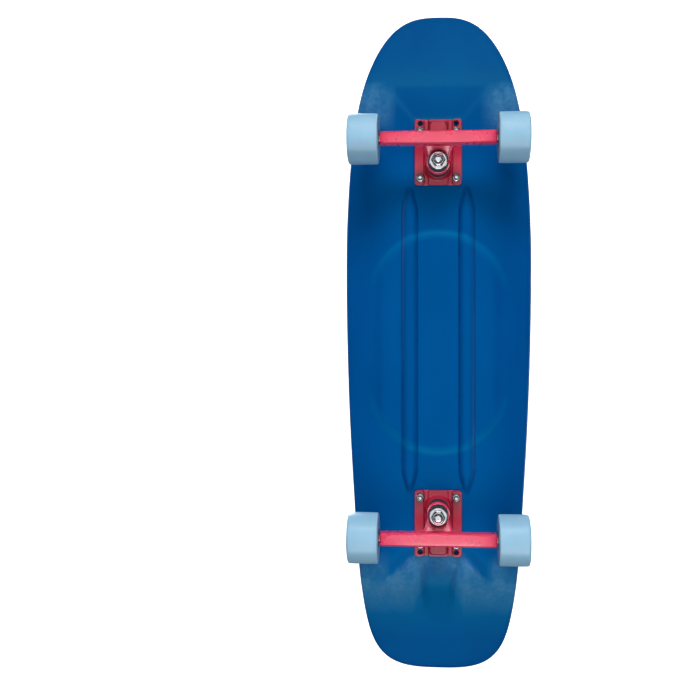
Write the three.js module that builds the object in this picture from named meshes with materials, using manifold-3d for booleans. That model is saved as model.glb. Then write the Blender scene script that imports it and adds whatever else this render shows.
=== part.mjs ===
// Cruiser skateboard: a moulded deck on two trucks with four bearing-mounted wheels.
// Millimetres, +Z up, nose towards -Y. The wheels stand on Z = 0 and the origin lies under
// the middle of the deck's plan.
import * as THREE from 'three';
import { mergeVertices } from 'three/addons/utils/BufferGeometryUtils.js';
import Module from 'manifold-3d';

const wasm = await Module();
wasm.setup();

const quarterTurn = Math.PI / 2;
const upAxis = new THREE.Vector3(0, 0, 1);

// Clearances shared by every fit
const fitGap = 0.3;
const cutOverrun = 1;

// Deck plan
const deckLength = 783.6;
const deckWidth = 217.6;
const widestPlace = -89.5;
const nosePowers = { lengthShare: 2.12, widthShare: 2.86 };
const tailPowers = { lengthShare: 20, widthShare: 3 };
const tailTaperShare = 0.277;
const deckRows = 42;
const deckColumns = 10;

// Deck section
const deckThickness = 6.5;
const deckEdgeRadius = 2.6;
const noseKickStart = 250;
const noseKickRadius = 200;
const noseKickAngle = THREE.MathUtils.degToRad(22);
const tailKickStart = 240;
const tailKickRadius = 180;
const tailKickAngle = THREE.MathUtils.degToRad(15.6);
const concaveRise = 15.5;
const concaveFlatWidth = 60;
const concaveFadeStart = 150;
const concaveFadeEnd = 310;

// Stiffening rails and round-ended panel under the deck
const railSpacing = 66;
const railWidth = 19.5;
const railHeight = 6;
const railLength = 361;
const railPlace = -2.6;
const railTaper = 30;
const railStep = 0.5;
const railColumns = 6;
const reliefSink = 2;
const panelLength = 264;
const panelWidth = 148;
const panelEndRadius = 85;
const panelHeight = 1.6;
const panelStep = 0.4;
const panelSlopeRun = 8;
const panelPlace = -0.3;

// Tapered keel under the tail kick
const keelStart = 246;
const keelEnd = 334;
const keelStartHalfWidth = 30;
const keelEndHalfWidth = 13.5;
const keelHeight = 2.4;
const keelSlopeRun = 5;
const keelPeakShare = 0.45;

// Plain disc on top of the deck
const discRadius = 36;
const discHeight = 0.8;
const discPlace = 60;

// Truck mounting pattern and its fasteners
const truckSpacing = 422;
const truckOffset = -5.5;
const boltSpacingAcross = 41.28;
const boltSpacingAlong = 53.98;
const spareHoleSpacing = 63.5;
const boltRadius = 2.4;
const boltHeadRadius = 4.65;
const boltHeadHeight = 2.6;
const boltTipLength = 2.2;
const lockNutAcrossFlats = 9.5;
const lockNutHeight = 5.4;

// Baseplate
const plateWidth = 54.5;
const plateThickness = 6;
const plateInboardMargin = 7.5;
const plateOutboardMargin = 5.2;
const plateCornerRadius = 4;
const seatRadius = 13.4;
const ribWidth = 5;
const ribHeight = 2.6;
const ribGap = 12;
const pocketWidth = 22;
const pocketLength = 20;
const pocketDepth = 22.5;

// Kingpin and its stack, measured along the kingpin from the deck
const kingpinPlace = 14.2;
const kingpinLean = THREE.MathUtils.degToRad(1);
const kingpinRadius = 4.76;
const kingpinHeadRadius = 7.1;
const kingpinHeadHeight = 2.6;
const kingpinTipLength = 2.4;
const seatDepth = 12;
const boardBushingLength = 14;
const boardBushingRadius = 13;
const roadBushingLength = 10.4;
const roadBushingRadius = 11.4;
const bushingWaist = 1.2;
const cupWasherRadius = 10;
const cupWasherThickness = 2;
const kingpinNutAcrossFlats = 14.3;
const kingpinNutHeight = 7.5;

// Hanger
const hangerLength = 129;
const truckHeight = 48;
const axleSetback = 11;
const barWidth = 15;
const barHeight = 15;
const barChamfer = 2;
const barShift = 0.2;
const barEndTaper = 2;
const ringRadius = 13;
const ringThickness = 8;
const ringBore = 6.6;
const armRootWidth = 31;
const armTipWidth = 22;
const armThickness = 9;
const webWidth = 16;
const gussetWidth = 56;
const neckRadius = 7;

// Pivot
const pivotPlace = -27;
const pivotDepth = 12;
const pivotNoseRadius = 5.5;
const pivotCupRadius = 8;
const pivotCupLength = 12;
const pivotCupFloor = 2;

// Axle, bearings and wheels
const axleRadius = 3.97;
const axleLength = 204;
const axleTipChamfer = 0.8;
const washerRadius = 5.6;
const washerThickness = 1;
const bearingRadius = 11;
const bearingWidth = 7;
const bearingSpread = 13;
const axleNutAcrossFlats = 12.7;
const axleNutHeight = 6.4;
const wheelRadius = 28;
const wheelWidth = 34.6;
const wheelLipRadius = 5.5;
const wheelCoreRadius = 9.4;
const wheelInnerRecess = 0.3;
const wheelDishRadius = 16.5;
const wheelDishDepth = 1.6;
const wheelSides = 28;
const lipSteps = 3;
const smallSides = 12;
const mediumSides = 18;

// Sizes that follow from the ones above
const deckHalfLength = deckLength / 2;
const deckHalfWidth = deckWidth / 2;
const axleHeight = wheelRadius * Math.cos(Math.PI / wheelSides);
const deckUnderside = axleHeight + truckHeight;
const deckTop = deckUnderside + deckThickness;
const plateFace = -fitGap - plateThickness;
const plateInboardEnd = boltSpacingAlong / 2 + plateInboardMargin;
const spareHolePlace = boltSpacingAlong / 2 - spareHoleSpacing;
const plateOutboardEnd = spareHolePlace - plateOutboardMargin;
const boltPlaces = [boltSpacingAlong / 2, -boltSpacingAlong / 2];
const boltSides = [boltSpacingAcross / 2, -boltSpacingAcross / 2];
const boardBushingStart = seatDepth + fitGap;
const ringStart = boardBushingStart + boardBushingLength + fitGap;
const roadBushingStart = ringStart + ringThickness + fitGap;
const cupWasherStart = roadBushingStart + roadBushingLength + fitGap;
const kingpinNutStart = cupWasherStart + cupWasherThickness + fitGap;
const kingpinEnd = kingpinNutStart + kingpinNutHeight + kingpinTipLength;
const hangerEnd = hangerLength / 2;
const innerWasherStart = hangerEnd + fitGap;
const innerBearingStart = innerWasherStart + washerThickness + fitGap;
const outerBearingStart = innerBearingStart + bearingWidth + bearingSpread;
const outerWasherStart = outerBearingStart + bearingWidth + fitGap;
const axleNutStart = outerWasherStart + washerThickness + fitGap;
const wheelStart = innerBearingStart - wheelInnerRecess;
const axleBore = axleRadius + fitGap;
const kingpinBore = kingpinRadius + fitGap;
const kingpinHeadStart = fitGap * 2 + kingpinHeadRadius * Math.tan(kingpinLean);

// A point on the kingpin and on the ring's middle, in the truck's own frame
const kingpinDirection = new THREE.Vector3(0, -Math.sin(kingpinLean), -Math.cos(kingpinLean));
const kingpinRoot = new THREE.Vector3(0, kingpinPlace, 0);
const onKingpin = (distance) => kingpinRoot.clone().addScaledVector(kingpinDirection, distance);
const ringCentre = onKingpin(ringStart + ringThickness / 2);

// The hanger steers about the line from the pivot to the ring's middle
const pivotCentre = new THREE.Vector3(0, pivotPlace, -pivotDepth);
const steeringDirection = ringCentre.clone().sub(pivotCentre).normalize();
const axleCentre = new THREE.Vector3(0, -axleSetback, -truckHeight);

const finishes = {
  deck: { color: 0x0b4f96, roughness: 0.42, metalness: 0 },
  crimson: { color: 0xc0283f, roughness: 0.36, metalness: 0.15 },
  steel: { color: 0xc9ccd1, roughness: 0.24, metalness: 1 },
  zinc: { color: 0xb8bfc9, roughness: 0.32, metalness: 1 },
  wheel: { color: 0x8fbbdc, roughness: 0.34, metalness: 0 },
  bushing: { color: 0x1c1d20, roughness: 0.6, metalness: 0 },
  cup: { color: 0x202124, roughness: 0.65, metalness: 0 },
};

function namedMesh(name, geometry, finish) {
  const mesh = new THREE.Mesh(geometry, new THREE.MeshStandardMaterial(finishes[finish]));
  mesh.name = name;
  return mesh;
}

function solidOf(geometry) {
  const bare = geometry.clone();
  bare.deleteAttribute('normal');
  bare.deleteAttribute('uv');
  const shared = mergeVertices(bare);
  return new wasm.Manifold(new wasm.Mesh({
    numProp: 3,
    vertProperties: new Float32Array(shared.attributes.position.array),
    triVerts: new Uint32Array(shared.index.array),
  }));
}

function geometryOf(solid) {
  const mesh = solid.getMesh();
  const geometry = new THREE.BufferGeometry();
  geometry.setAttribute('position', new THREE.BufferAttribute(mesh.vertProperties, 3));
  geometry.setIndex(new THREE.BufferAttribute(mesh.triVerts, 1));
  geometry.computeVertexNormals();
  return geometry;
}

function joinAll(geometries) {
  return geometries.map(solidOf).reduce((whole, piece) => whole.add(piece));
}

function cutAll(solid, geometries) {
  return geometries.map(solidOf).reduce((whole, tool) => whole.subtract(tool), solid);
}

// A geometry built along +Z from Z = 0, laid along a direction from a start point
function alongAxis(geometry, start, direction) {
  const turn = new THREE.Quaternion().setFromUnitVectors(upAxis, direction);
  return geometry.clone().applyQuaternion(turn).translate(start.x, start.y, start.z);
}

function post(radius, height, sides = mediumSides) {
  return new THREE.CylinderGeometry(radius, radius, height, sides)
    .rotateX(quarterTurn)
    .translate(0, 0, height / 2);
}

function hexPost(acrossFlats, height) {
  return post(acrossFlats / 2 / Math.cos(Math.PI / 6), height, 6);
}

function block(sizeX, sizeY, sizeZ, x, y, z) {
  return new THREE.BoxGeometry(sizeX, sizeY, sizeZ).translate(x, y, z);
}

// A closed profile of [radius, height] corners spun about Z
function spin(corners, sides) {
  const profile = corners.map(([radius, height]) => new THREE.Vector2(radius, height));
  return new THREE.LatheGeometry(profile, sides, Math.PI / sides);
}

// A flat outline extruded along +Z
function prism(points, height) {
  return new THREE.ExtrudeGeometry(new THREE.Shape(points), { depth: height, bevelEnabled: false });
}

// A closed plate between two height functions. Each row crosses the plate at one Y, and the
// first and last rows are single points. The edge is rounded outwards by edgeRadius.
function plateGeometry(rows, columns, topAt, bottomAt, edgeRadius = 0) {
  const positions = [];
  const index = [];
  const addVertex = (x, y, z) => positions.push(x, y, z) / 3 - 1;

  const addSheet = (heightAt, triangle) => {
    const grid = rows.map((row, place) => {
      const pointed = place === 0 || place === rows.length - 1;
      const steps = pointed ? 0 : columns;
      return Array.from({ length: steps + 1 }, (_, step) => {
        const x = pointed ? row.middle : row.left + ((row.right - row.left) * step) / columns;
        return addVertex(x, row.y, heightAt(x, row.y));
      });
    });
    for (let place = 0; place < rows.length - 1; place += 1) {
      const near = grid[place];
      const far = grid[place + 1];
      for (let step = 0; step < columns; step += 1) {
        if (near.length > 1) triangle(near[step], near[step + 1], far[Math.min(step + 1, far.length - 1)]);
        if (far.length > 1) triangle(near[Math.min(step, near.length - 1)], far[step + 1], far[step]);
      }
    }
    const inner = grid.slice(1, -1);
    const rightSide = inner.map((row) => row[row.length - 1]);
    const leftSide = inner.map((row) => row[0]).reverse();
    return [grid[0][0], ...rightSide, grid[grid.length - 1][0], ...leftSide];
  };

  const lastRow = rows.length - 1;
  const normalAt = (place) => {
    const { normal } = rows[place > lastRow ? 2 * lastRow - place : place];
    return place > lastRow ? [-normal[0], normal[1]] : normal;
  };
  const addRing = (loop, turn, side) => loop.map((vertex, place) => {
    const reach = edgeRadius * Math.cos(turn);
    const drop = edgeRadius * (1 - Math.sin(turn)) * side;
    const [outX, outY] = normalAt(place);
    const [x, y, z] = positions.slice(vertex * 3, vertex * 3 + 3);
    return addVertex(x + outX * reach, y + outY * reach, z + drop);
  });

  const top = addSheet(topAt, (a, b, c) => index.push(a, b, c));
  const bottom = addSheet(bottomAt, (a, b, c) => index.push(a, c, b));
  const turns = edgeRadius > 0 ? [quarterTurn / 2, 0] : [];
  const loops = [
    top,
    ...turns.map((turn) => addRing(top, turn, -1)),
    ...turns.toReversed().map((turn) => addRing(bottom, turn, 1)),
    bottom,
  ];
  for (let ring = 0; ring < loops.length - 1; ring += 1) {
    loops[ring].forEach((upper, place) => {
      const next = (place + 1) % top.length;
      index.push(upper, loops[ring + 1][place], loops[ring + 1][next]);
      index.push(upper, loops[ring + 1][next], loops[ring][next]);
    });
  }
  const geometry = new THREE.BufferGeometry();
  geometry.setAttribute('position', new THREE.Float32BufferAttribute(positions, 3));
  geometry.setIndex(index);
  return geometry;
}

// Deck surface: a kick at each end and a concave that fades out towards the kicks
const noseKick = { start: noseKickStart, radius: noseKickRadius, angle: noseKickAngle };
const tailKick = { start: tailKickStart, radius: tailKickRadius, angle: tailKickAngle };

function kickRiseAt(y) {
  const { start, radius, angle } = y < 0 ? noseKick : tailKick;
  const run = Math.max(0, Math.abs(y) - start);
  const arcRun = radius * Math.sin(angle);
  const bend = Math.min(run, arcRun);
  const arcRise = radius - Math.sqrt(radius ** 2 - bend ** 2);
  return arcRise + Math.max(0, run - arcRun) * Math.tan(angle);
}

function concaveRiseAt(x, y) {
  const fade = 1 - THREE.MathUtils.smoothstep(Math.abs(y), concaveFadeStart, concaveFadeEnd);
  const flatHalf = concaveFlatWidth / 2;
  const share = Math.max(0, Math.abs(x) - flatHalf) / (deckHalfWidth - flatHalf);
  return concaveRise * fade * share ** 2;
}

const topAt = (x, y) => deckTop + kickRiseAt(y) + concaveRiseAt(x, y);
const undersideAt = (x, y) => topAt(x, y) - deckThickness;

// One end of the outline from the widest place to its tip, as a superellipse
function outlineEnd(tip, powers, taperShare) {
  const steps = 120;
  return Array.from({ length: steps + 1 }, (_, step) => {
    const alongShare = Math.sin((quarterTurn * step) / steps);
    const acrossShare = (1 - alongShare ** powers.lengthShare) ** (1 / powers.widthShare);
    const taper = 1 - taperShare * alongShare ** 2;
    const x = step === steps ? 0 : deckHalfWidth * acrossShare * taper;
    return new THREE.Vector2(x, widestPlace + (tip - widestPlace) * alongShare);
  });
}

// Rows across the deck at even steps along its edge, drawn in by the edge radius
function deckRowList() {
  const nose = outlineEnd(-deckHalfLength, nosePowers, 0).reverse();
  const tail = outlineEnd(deckHalfLength, tailPowers, tailTaperShare).slice(1);
  const edge = new THREE.Path([...nose, ...tail]).getSpacedPoints(deckRows);
  return edge.map((point, place) => {
    const before = edge[Math.max(0, place - 1)];
    const after = edge[Math.min(edge.length - 1, place + 1)];
    const tip = place === 0 || place === edge.length - 1;
    const run = after.clone().sub(before).normalize();
    const normal = tip ? [0, Math.sign(point.y)] : [run.y, -run.x];
    const x = tip ? 0 : point.x - normal[0] * deckEdgeRadius;
    const y = point.y - normal[1] * deckEdgeRadius;
    return { y, left: -x, right: x, middle: 0, normal };
  });
}

const reliefRootAt = (x, y) => undersideAt(x, y) + reliefSink;

// A rib under the deck with a rounded crown and pointed ends
function railGeometry(middle) {
  const half = railLength / 2;
  const taperSteps = 5;
  const ends = Array.from({ length: taperSteps + 1 }, (_, step) => (railTaper * step) / taperSteps);
  const places = [...ends.map((run) => run - half), ...ends.toReversed().map((run) => half - run)];
  const fullness = (place) => Math.sin(
    quarterTurn * Math.min(1, (half - Math.abs(place)) / railTaper),
  );
  const rows = places.map((place) => {
    const reach = (railWidth / 2) * fullness(place);
    return { y: railPlace + place, left: middle - reach, right: middle + reach, middle };
  });
  const crownAt = (x, y) => {
    const full = fullness(y - railPlace);
    const reach = Math.max((railWidth / 2) * full, Number.EPSILON);
    const share = Math.min(1, Math.abs(x - middle) / reach);
    const crown = (railHeight - railStep) * full * (1 - share ** 2);
    return undersideAt(x, y) - railStep - crown;
  };
  return plateGeometry(rows, railColumns, reliefRootAt, crownAt);
}

// A low panel round the middle of the underside, with straight sides and arcs for ends
function panelGeometry() {
  const steps = 18;
  const halfWidth = panelWidth / 2;
  const arcMiddle = panelLength / 2 - panelEndRadius;
  const beyondArcMiddle = (y) => Math.max(0, Math.abs(y - panelPlace) - arcMiddle);
  const rows = Array.from({ length: steps + 1 }, (_, step) => {
    const y = panelPlace - (panelLength / 2) * Math.cos((Math.PI * step) / steps);
    const arcReach = Math.sqrt(Math.max(0, panelEndRadius ** 2 - beyondArcMiddle(y) ** 2));
    const reach = Math.min(halfWidth, arcReach);
    return { y, left: -reach, right: reach, middle: 0 };
  });
  const faceAt = (x, y) => {
    const inside = Math.min(
      halfWidth - Math.abs(x),
      panelEndRadius - Math.hypot(x, beyondArcMiddle(y)),
    );
    const share = Math.min(1, Math.max(0, inside) / panelSlopeRun);
    return undersideAt(x, y) - panelStep - (panelHeight - panelStep) * share;
  };
  return plateGeometry(rows, deckColumns, reliefRootAt, faceAt);
}

// A keel that narrows towards the tail and fades out on the kick
function tailKeelGeometry() {
  const steps = 10;
  const rows = Array.from({ length: steps + 1 }, (_, step) => {
    const share = step / steps;
    const reach = keelStartHalfWidth + (keelEndHalfWidth - keelStartHalfWidth) * share;
    const y = keelStart + (keelEnd - keelStart) * share;
    return { y, left: -reach, right: reach, middle: 0 };
  });
  const faceAt = (x, y) => {
    const share = (y - keelStart) / (keelEnd - keelStart);
    const reach = keelStartHalfWidth + (keelEndHalfWidth - keelStartHalfWidth) * share;
    const swell = share < keelPeakShare
      ? share / keelPeakShare
      : (1 - share) / (1 - keelPeakShare);
    const side = Math.min(1, Math.max(0, reach - Math.abs(x)) / keelSlopeRun);
    const sunk = reliefSink / 2;
    return undersideAt(x, y) + sunk - (keelHeight + sunk) * Math.max(0, swell) * side;
  };
  return plateGeometry(rows, deckColumns, reliefRootAt, faceAt);
}

const truckPlaces = [
  { name: 'front', y: truckOffset - truckSpacing / 2, inboard: 1 },
  { name: 'rear', y: truckOffset + truckSpacing / 2, inboard: -1 },
];

// A countersunk screw's outline, widened by a clearance
function screwCorners(clearance, tip) {
  return [
    [0, tip],
    [boltRadius + clearance, tip],
    [boltRadius + clearance, -boltHeadHeight],
    [boltHeadRadius + clearance, 0],
  ];
}

function boltHole(x, y) {
  const corners = [
    ...screwCorners(fitGap, -deckThickness - cutOverrun),
    [boltHeadRadius + fitGap, cutOverrun],
    [0, cutOverrun],
  ];
  return spin(corners, smallSides).rotateX(quarterTurn).translate(x, y, deckTop);
}

function deck() {
  const shell = plateGeometry(deckRowList(), deckColumns, topAt, undersideAt, deckEdgeRadius);
  const disc = post(discRadius, discHeight + reliefSink, wheelSides)
    .translate(0, discPlace, deckTop - reliefSink);
  const body = joinAll([
    shell,
    panelGeometry(),
    tailKeelGeometry(),
    railGeometry(-railSpacing / 2),
    railGeometry(railSpacing / 2),
    disc,
  ]);
  const holes = truckPlaces.flatMap(({ y }) => boltPlaces.flatMap(
    (along) => boltSides.map((across) => boltHole(across, y + along)),
  ));
  return namedMesh('deck', geometryOf(cutAll(body, holes)), 'deck');
}

function roundedPlate() {
  const halfWidth = plateWidth / 2;
  const turnAt = (shape, x, y, start) => {
    shape.absarc(x, y, plateCornerRadius, start, start + quarterTurn, false);
  };
  const shape = new THREE.Shape();
  const innerX = halfWidth - plateCornerRadius;
  const innerTop = plateInboardEnd - plateCornerRadius;
  const innerBottom = plateOutboardEnd + plateCornerRadius;
  turnAt(shape, innerX, innerBottom, -quarterTurn);
  turnAt(shape, innerX, innerTop, 0);
  turnAt(shape, -innerX, innerTop, quarterTurn);
  turnAt(shape, -innerX, innerBottom, 2 * quarterTurn);
  return new THREE.ExtrudeGeometry(shape, {
    depth: plateThickness,
    bevelEnabled: false,
    curveSegments: 4,
  }).translate(0, 0, plateFace);
}

function baseplate(name) {
  const ribLength = plateInboardEnd - plateOutboardEnd - 2 * plateCornerRadius;
  const ribMiddle = (plateInboardEnd + plateOutboardEnd) / 2;
  const pocketMiddle = plateOutboardEnd + plateCornerRadius / 2 + pocketLength / 2;
  const pocketRise = pocketDepth - fitGap;
  const seatRoot = plateThickness / 2;
  const ribRise = ribHeight + plateThickness;
  const sideRibs = [1, -1].map((side) => block(
    ribWidth,
    ribLength,
    ribRise,
    side * (ribGap + ribWidth) / 2,
    ribMiddle,
    ribRise / 2 - ribRise - fitGap,
  ));
  const body = joinAll([
    roundedPlate(),
    ...sideRibs,
    block(pocketWidth, pocketLength, pocketRise, 0, pocketMiddle, -fitGap - pocketRise / 2),
    alongAxis(post(seatRadius, seatDepth - seatRoot), onKingpin(seatRoot), kingpinDirection),
  ]);
  const shaftHole = post(kingpinBore, seatDepth + cutOverrun * 2, smallSides);
  const headRoom = kingpinHeadStart + kingpinHeadHeight + fitGap + cutOverrun * 2;
  const headHole = post(kingpinHeadRadius + fitGap, headRoom, smallSides);
  const cupHole = post(pivotCupRadius + fitGap, pocketLength + cutOverrun);
  const cupFloor = pivotCentre.clone().addScaledVector(
    steeringDirection,
    -pivotCupLength / 2 - fitGap,
  );
  const screwHoles = boltSides.flatMap((x) => [...boltPlaces, spareHolePlace].map((y) => (
    post(boltRadius + fitGap, plateThickness + ribHeight + cutOverrun * 2, smallSides)
      .translate(x, y, plateFace - ribHeight - cutOverrun)
  )));
  const solid = cutAll(body, [
    alongAxis(shaftHole, onKingpin(-cutOverrun), kingpinDirection),
    alongAxis(headHole, onKingpin(-cutOverrun * 2), kingpinDirection),
    alongAxis(cupHole, cupFloor, steeringDirection),
    ...screwHoles,
  ]);
  return namedMesh(`${name}_baseplate`, geometryOf(solid), 'crimson');
}

function pivotCup(name) {
  const bore = pivotNoseRadius + fitGap;
  const corners = [
    [0, 0],
    [pivotCupRadius, 0],
    [pivotCupRadius, pivotCupLength],
    [bore, pivotCupLength],
    [bore, pivotCupFloor],
    [0, pivotCupFloor],
  ];
  const start = pivotCentre.clone().addScaledVector(steeringDirection, -pivotCupLength / 2);
  const geometry = spin(corners, mediumSides).rotateX(quarterTurn);
  return namedMesh(`${name}_pivot_cup`, alongAxis(geometry, start, steeringDirection), 'cup');
}

// The hanger's nose and neck are round about the steering line
function pivotNeck() {
  const tip = pivotCupFloor + fitGap;
  const noseSteps = 4;
  const nose = Array.from({ length: noseSteps + 1 }, (_, step) => {
    const turn = (quarterTurn * step) / noseSteps;
    const radius = pivotNoseRadius * Math.sin(turn);
    return [radius, tip + pivotNoseRadius * (1 - Math.cos(turn))];
  });
  const end = ringCentre.distanceTo(pivotCentre) + pivotCupLength / 2 - ringRadius;
  const corners = [
    ...nose,
    [pivotNoseRadius, pivotCupLength + cutOverrun],
    [neckRadius, pivotCupLength + cutOverrun * 2],
    [neckRadius, end + cutOverrun],
    [0, end + cutOverrun],
  ];
  const start = pivotCentre.clone().addScaledVector(steeringDirection, -pivotCupLength / 2);
  return alongAxis(spin(corners, mediumSides).rotateX(quarterTurn), start, steeringDirection);
}

function hangerBar() {
  const halfY = barWidth / 2;
  const halfZ = barHeight / 2;
  const section = [
    [halfY, -halfZ + barChamfer],
    [halfY, halfZ - barChamfer],
    [halfY - barChamfer, halfZ],
    [-halfY + barChamfer, halfZ],
    [-halfY, halfZ - barChamfer],
    [-halfY, -halfZ + barChamfer],
    [-halfY + barChamfer, -halfZ],
    [halfY - barChamfer, -halfZ],
  ];
  const geometry = new THREE.ExtrudeGeometry(
    new THREE.Shape(section.map(([y, z]) => new THREE.Vector2(y, z))),
    {
      depth: hangerLength - 2 * barEndTaper,
      bevelThickness: barEndTaper,
      bevelSize: barEndTaper / 2,
      bevelOffset: -barEndTaper / 2,
      bevelSegments: 1,
    },
  );
  return geometry
    .translate(0, 0, barEndTaper - hangerEnd)
    .rotateX(quarterTurn)
    .rotateZ(quarterTurn)
    .translate(0, axleCentre.y - barShift, axleCentre.z);
}

// The arm from the bar to the ring, wide at the bar, square to the kingpin
function hangerArm() {
  const reach = ringCentre.y - axleCentre.y;
  const outline = [
    [-armRootWidth / 2, 0],
    [armRootWidth / 2, 0],
    [armTipWidth / 2, reach - ringRadius / 2],
    [-armTipWidth / 2, reach - ringRadius / 2],
  ];
  const points = outline.map(([x, y]) => new THREE.Vector2(x, y));
  const fall = axleCentre.z - ringCentre.z + barHeight / 4;
  return prism(points, armThickness)
    .translate(0, 0, -armThickness / 2)
    .rotateX(Math.atan2(-fall, reach))
    .translate(0, axleCentre.y, axleCentre.z + barHeight / 4);
}

// The upright web and its gussets join the neck to the bar
function hangerWeb() {
  const neckAt = pivotCentre.z + (steeringDirection.z / steeringDirection.y)
    * (axleCentre.y - pivotCentre.y);
  const height = neckAt - axleCentre.z;
  const outline = [
    [-gussetWidth / 2, 0],
    [gussetWidth / 2, 0],
    [gussetWidth / 2, barHeight / 2],
    [webWidth / 2, height],
    [-webWidth / 2, height],
    [-gussetWidth / 2, barHeight / 2],
  ];
  const depth = barWidth - 2 * barChamfer;
  return prism(outline.map(([x, z]) => new THREE.Vector2(x, z)), depth)
    .translate(0, 0, -depth / 2)
    .rotateX(quarterTurn)
    .translate(0, axleCentre.y - barShift, axleCentre.z);
}

function axleRod(radius, length) {
  return post(radius, length, smallSides)
    .translate(0, 0, -length / 2)
    .rotateY(quarterTurn)
    .translate(0, axleCentre.y, axleCentre.z);
}

function hanger(name) {
  const ring = alongAxis(post(ringRadius, ringThickness), onKingpin(ringStart), kingpinDirection);
  const bore = alongAxis(
    post(ringBore, ringThickness + 2 * cutOverrun),
    onKingpin(ringStart - cutOverrun),
    kingpinDirection,
  );
  const bushingRoom = [
    [ringStart - boardBushingLength, boardBushingLength, boardBushingRadius],
    [ringStart + ringThickness, roadBushingLength, ringRadius],
  ].map(([start, length, radius]) => (
    alongAxis(post(radius + cutOverrun, length), onKingpin(start), kingpinDirection)
  ));
  const body = joinAll([hangerBar(), hangerArm(), hangerWeb(), pivotNeck(), ring]);
  const axleHole = axleRod(axleBore, hangerLength + cutOverrun * 2);
  const solid = cutAll(body, [bore, ...bushingRoom, axleHole]);
  return namedMesh(`${name}_hanger`, geometryOf(solid), 'crimson');
}

function axle(name) {
  const half = axleLength / 2;
  const corners = [
    [0, -half],
    [axleRadius - axleTipChamfer, -half],
    [axleRadius, -half + axleTipChamfer],
    [axleRadius, half - axleTipChamfer],
    [axleRadius - axleTipChamfer, half],
    [0, half],
  ];
  const geometry = spin(corners, smallSides)
    .rotateZ(-quarterTurn)
    .translate(0, axleCentre.y, axleCentre.z);
  return namedMesh(`${name}_axle`, geometry, 'steel');
}

function kingpin(name) {
  const headEnd = kingpinHeadStart + kingpinHeadHeight;
  const corners = [
    [0, kingpinHeadStart],
    [kingpinHeadRadius, kingpinHeadStart],
    [kingpinHeadRadius, headEnd],
    [kingpinRadius, headEnd],
    [kingpinRadius, kingpinEnd - axleTipChamfer],
    [kingpinRadius - axleTipChamfer, kingpinEnd],
    [0, kingpinEnd],
  ];
  const geometry = spin(corners, smallSides).rotateX(quarterTurn);
  return namedMesh(
    `${name}_kingpin`,
    alongAxis(geometry, kingpinRoot, kingpinDirection),
    'steel',
  );
}

// A bushing with a slightly drawn-in waist
function bushing(name, start, length, radius) {
  const corners = [
    [kingpinBore, 0],
    [radius, 0],
    [radius - bushingWaist, length / 2],
    [radius, length],
    [kingpinBore, length],
    [kingpinBore, 0],
  ];
  const geometry = spin(corners, mediumSides).rotateX(quarterTurn);
  return namedMesh(name, alongAxis(geometry, onKingpin(start), kingpinDirection), 'bushing');
}

function washerCorners(radius, bore, thickness) {
  return [
    [bore, 0],
    [radius, 0],
    [radius, thickness],
    [bore, thickness],
    [bore, 0],
  ];
}

function cupWasher(name) {
  const corners = washerCorners(cupWasherRadius, kingpinBore, cupWasherThickness);
  const geometry = spin(corners, mediumSides).rotateX(quarterTurn);
  return namedMesh(
    `${name}_cup_washer`,
    alongAxis(geometry, onKingpin(cupWasherStart), kingpinDirection),
    'steel',
  );
}

function nutSolid(acrossFlats, height, bore) {
  const hole = post(bore, height + 2 * cutOverrun, smallSides).translate(0, 0, -cutOverrun);
  return geometryOf(cutAll(solidOf(hexPost(acrossFlats, height)), [hole]));
}

function kingpinNut(name) {
  const geometry = nutSolid(kingpinNutAcrossFlats, kingpinNutHeight, kingpinBore);
  return namedMesh(
    `${name}_kingpin_nut`,
    alongAxis(geometry, onKingpin(kingpinNutStart), kingpinDirection),
    'steel',
  );
}

// The screws and lock nuts that hold one truck to the deck
function deckFasteners(name, inboard) {
  const reach = deckThickness - plateFace + fitGap + lockNutHeight + boltTipLength;
  const spots = boltPlaces.flatMap((y) => boltSides.map((x) => (
    { x, y, label: `${y > 0 ? 'inner' : 'outer'}_${sideName(x, inboard)}` }
  )));
  return spots.flatMap(({ x, y, label }) => {
    const screw = spin([...screwCorners(0, -reach), [0, 0]], smallSides)
      .rotateX(quarterTurn)
      .translate(x, y, deckThickness);
    const nut = nutSolid(lockNutAcrossFlats, lockNutHeight, boltRadius + fitGap)
      .translate(x, y, plateFace - fitGap - lockNutHeight);
    return [
      namedMesh(`${name}_deck_bolt_${label}`, screw, 'zinc'),
      namedMesh(`${name}_lock_nut_${label}`, nut, 'zinc'),
    ];
  });
}

// Round pieces threaded on the axle are spun about Z and laid along the axle's side
function onAxle(corners, sides, start, side) {
  const laid = spin(corners, sides).rotateX(quarterTurn).translate(0, 0, start);
  return laid
    .rotateY(side * quarterTurn)
    .translate(0, axleCentre.y, axleCentre.z);
}

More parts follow.
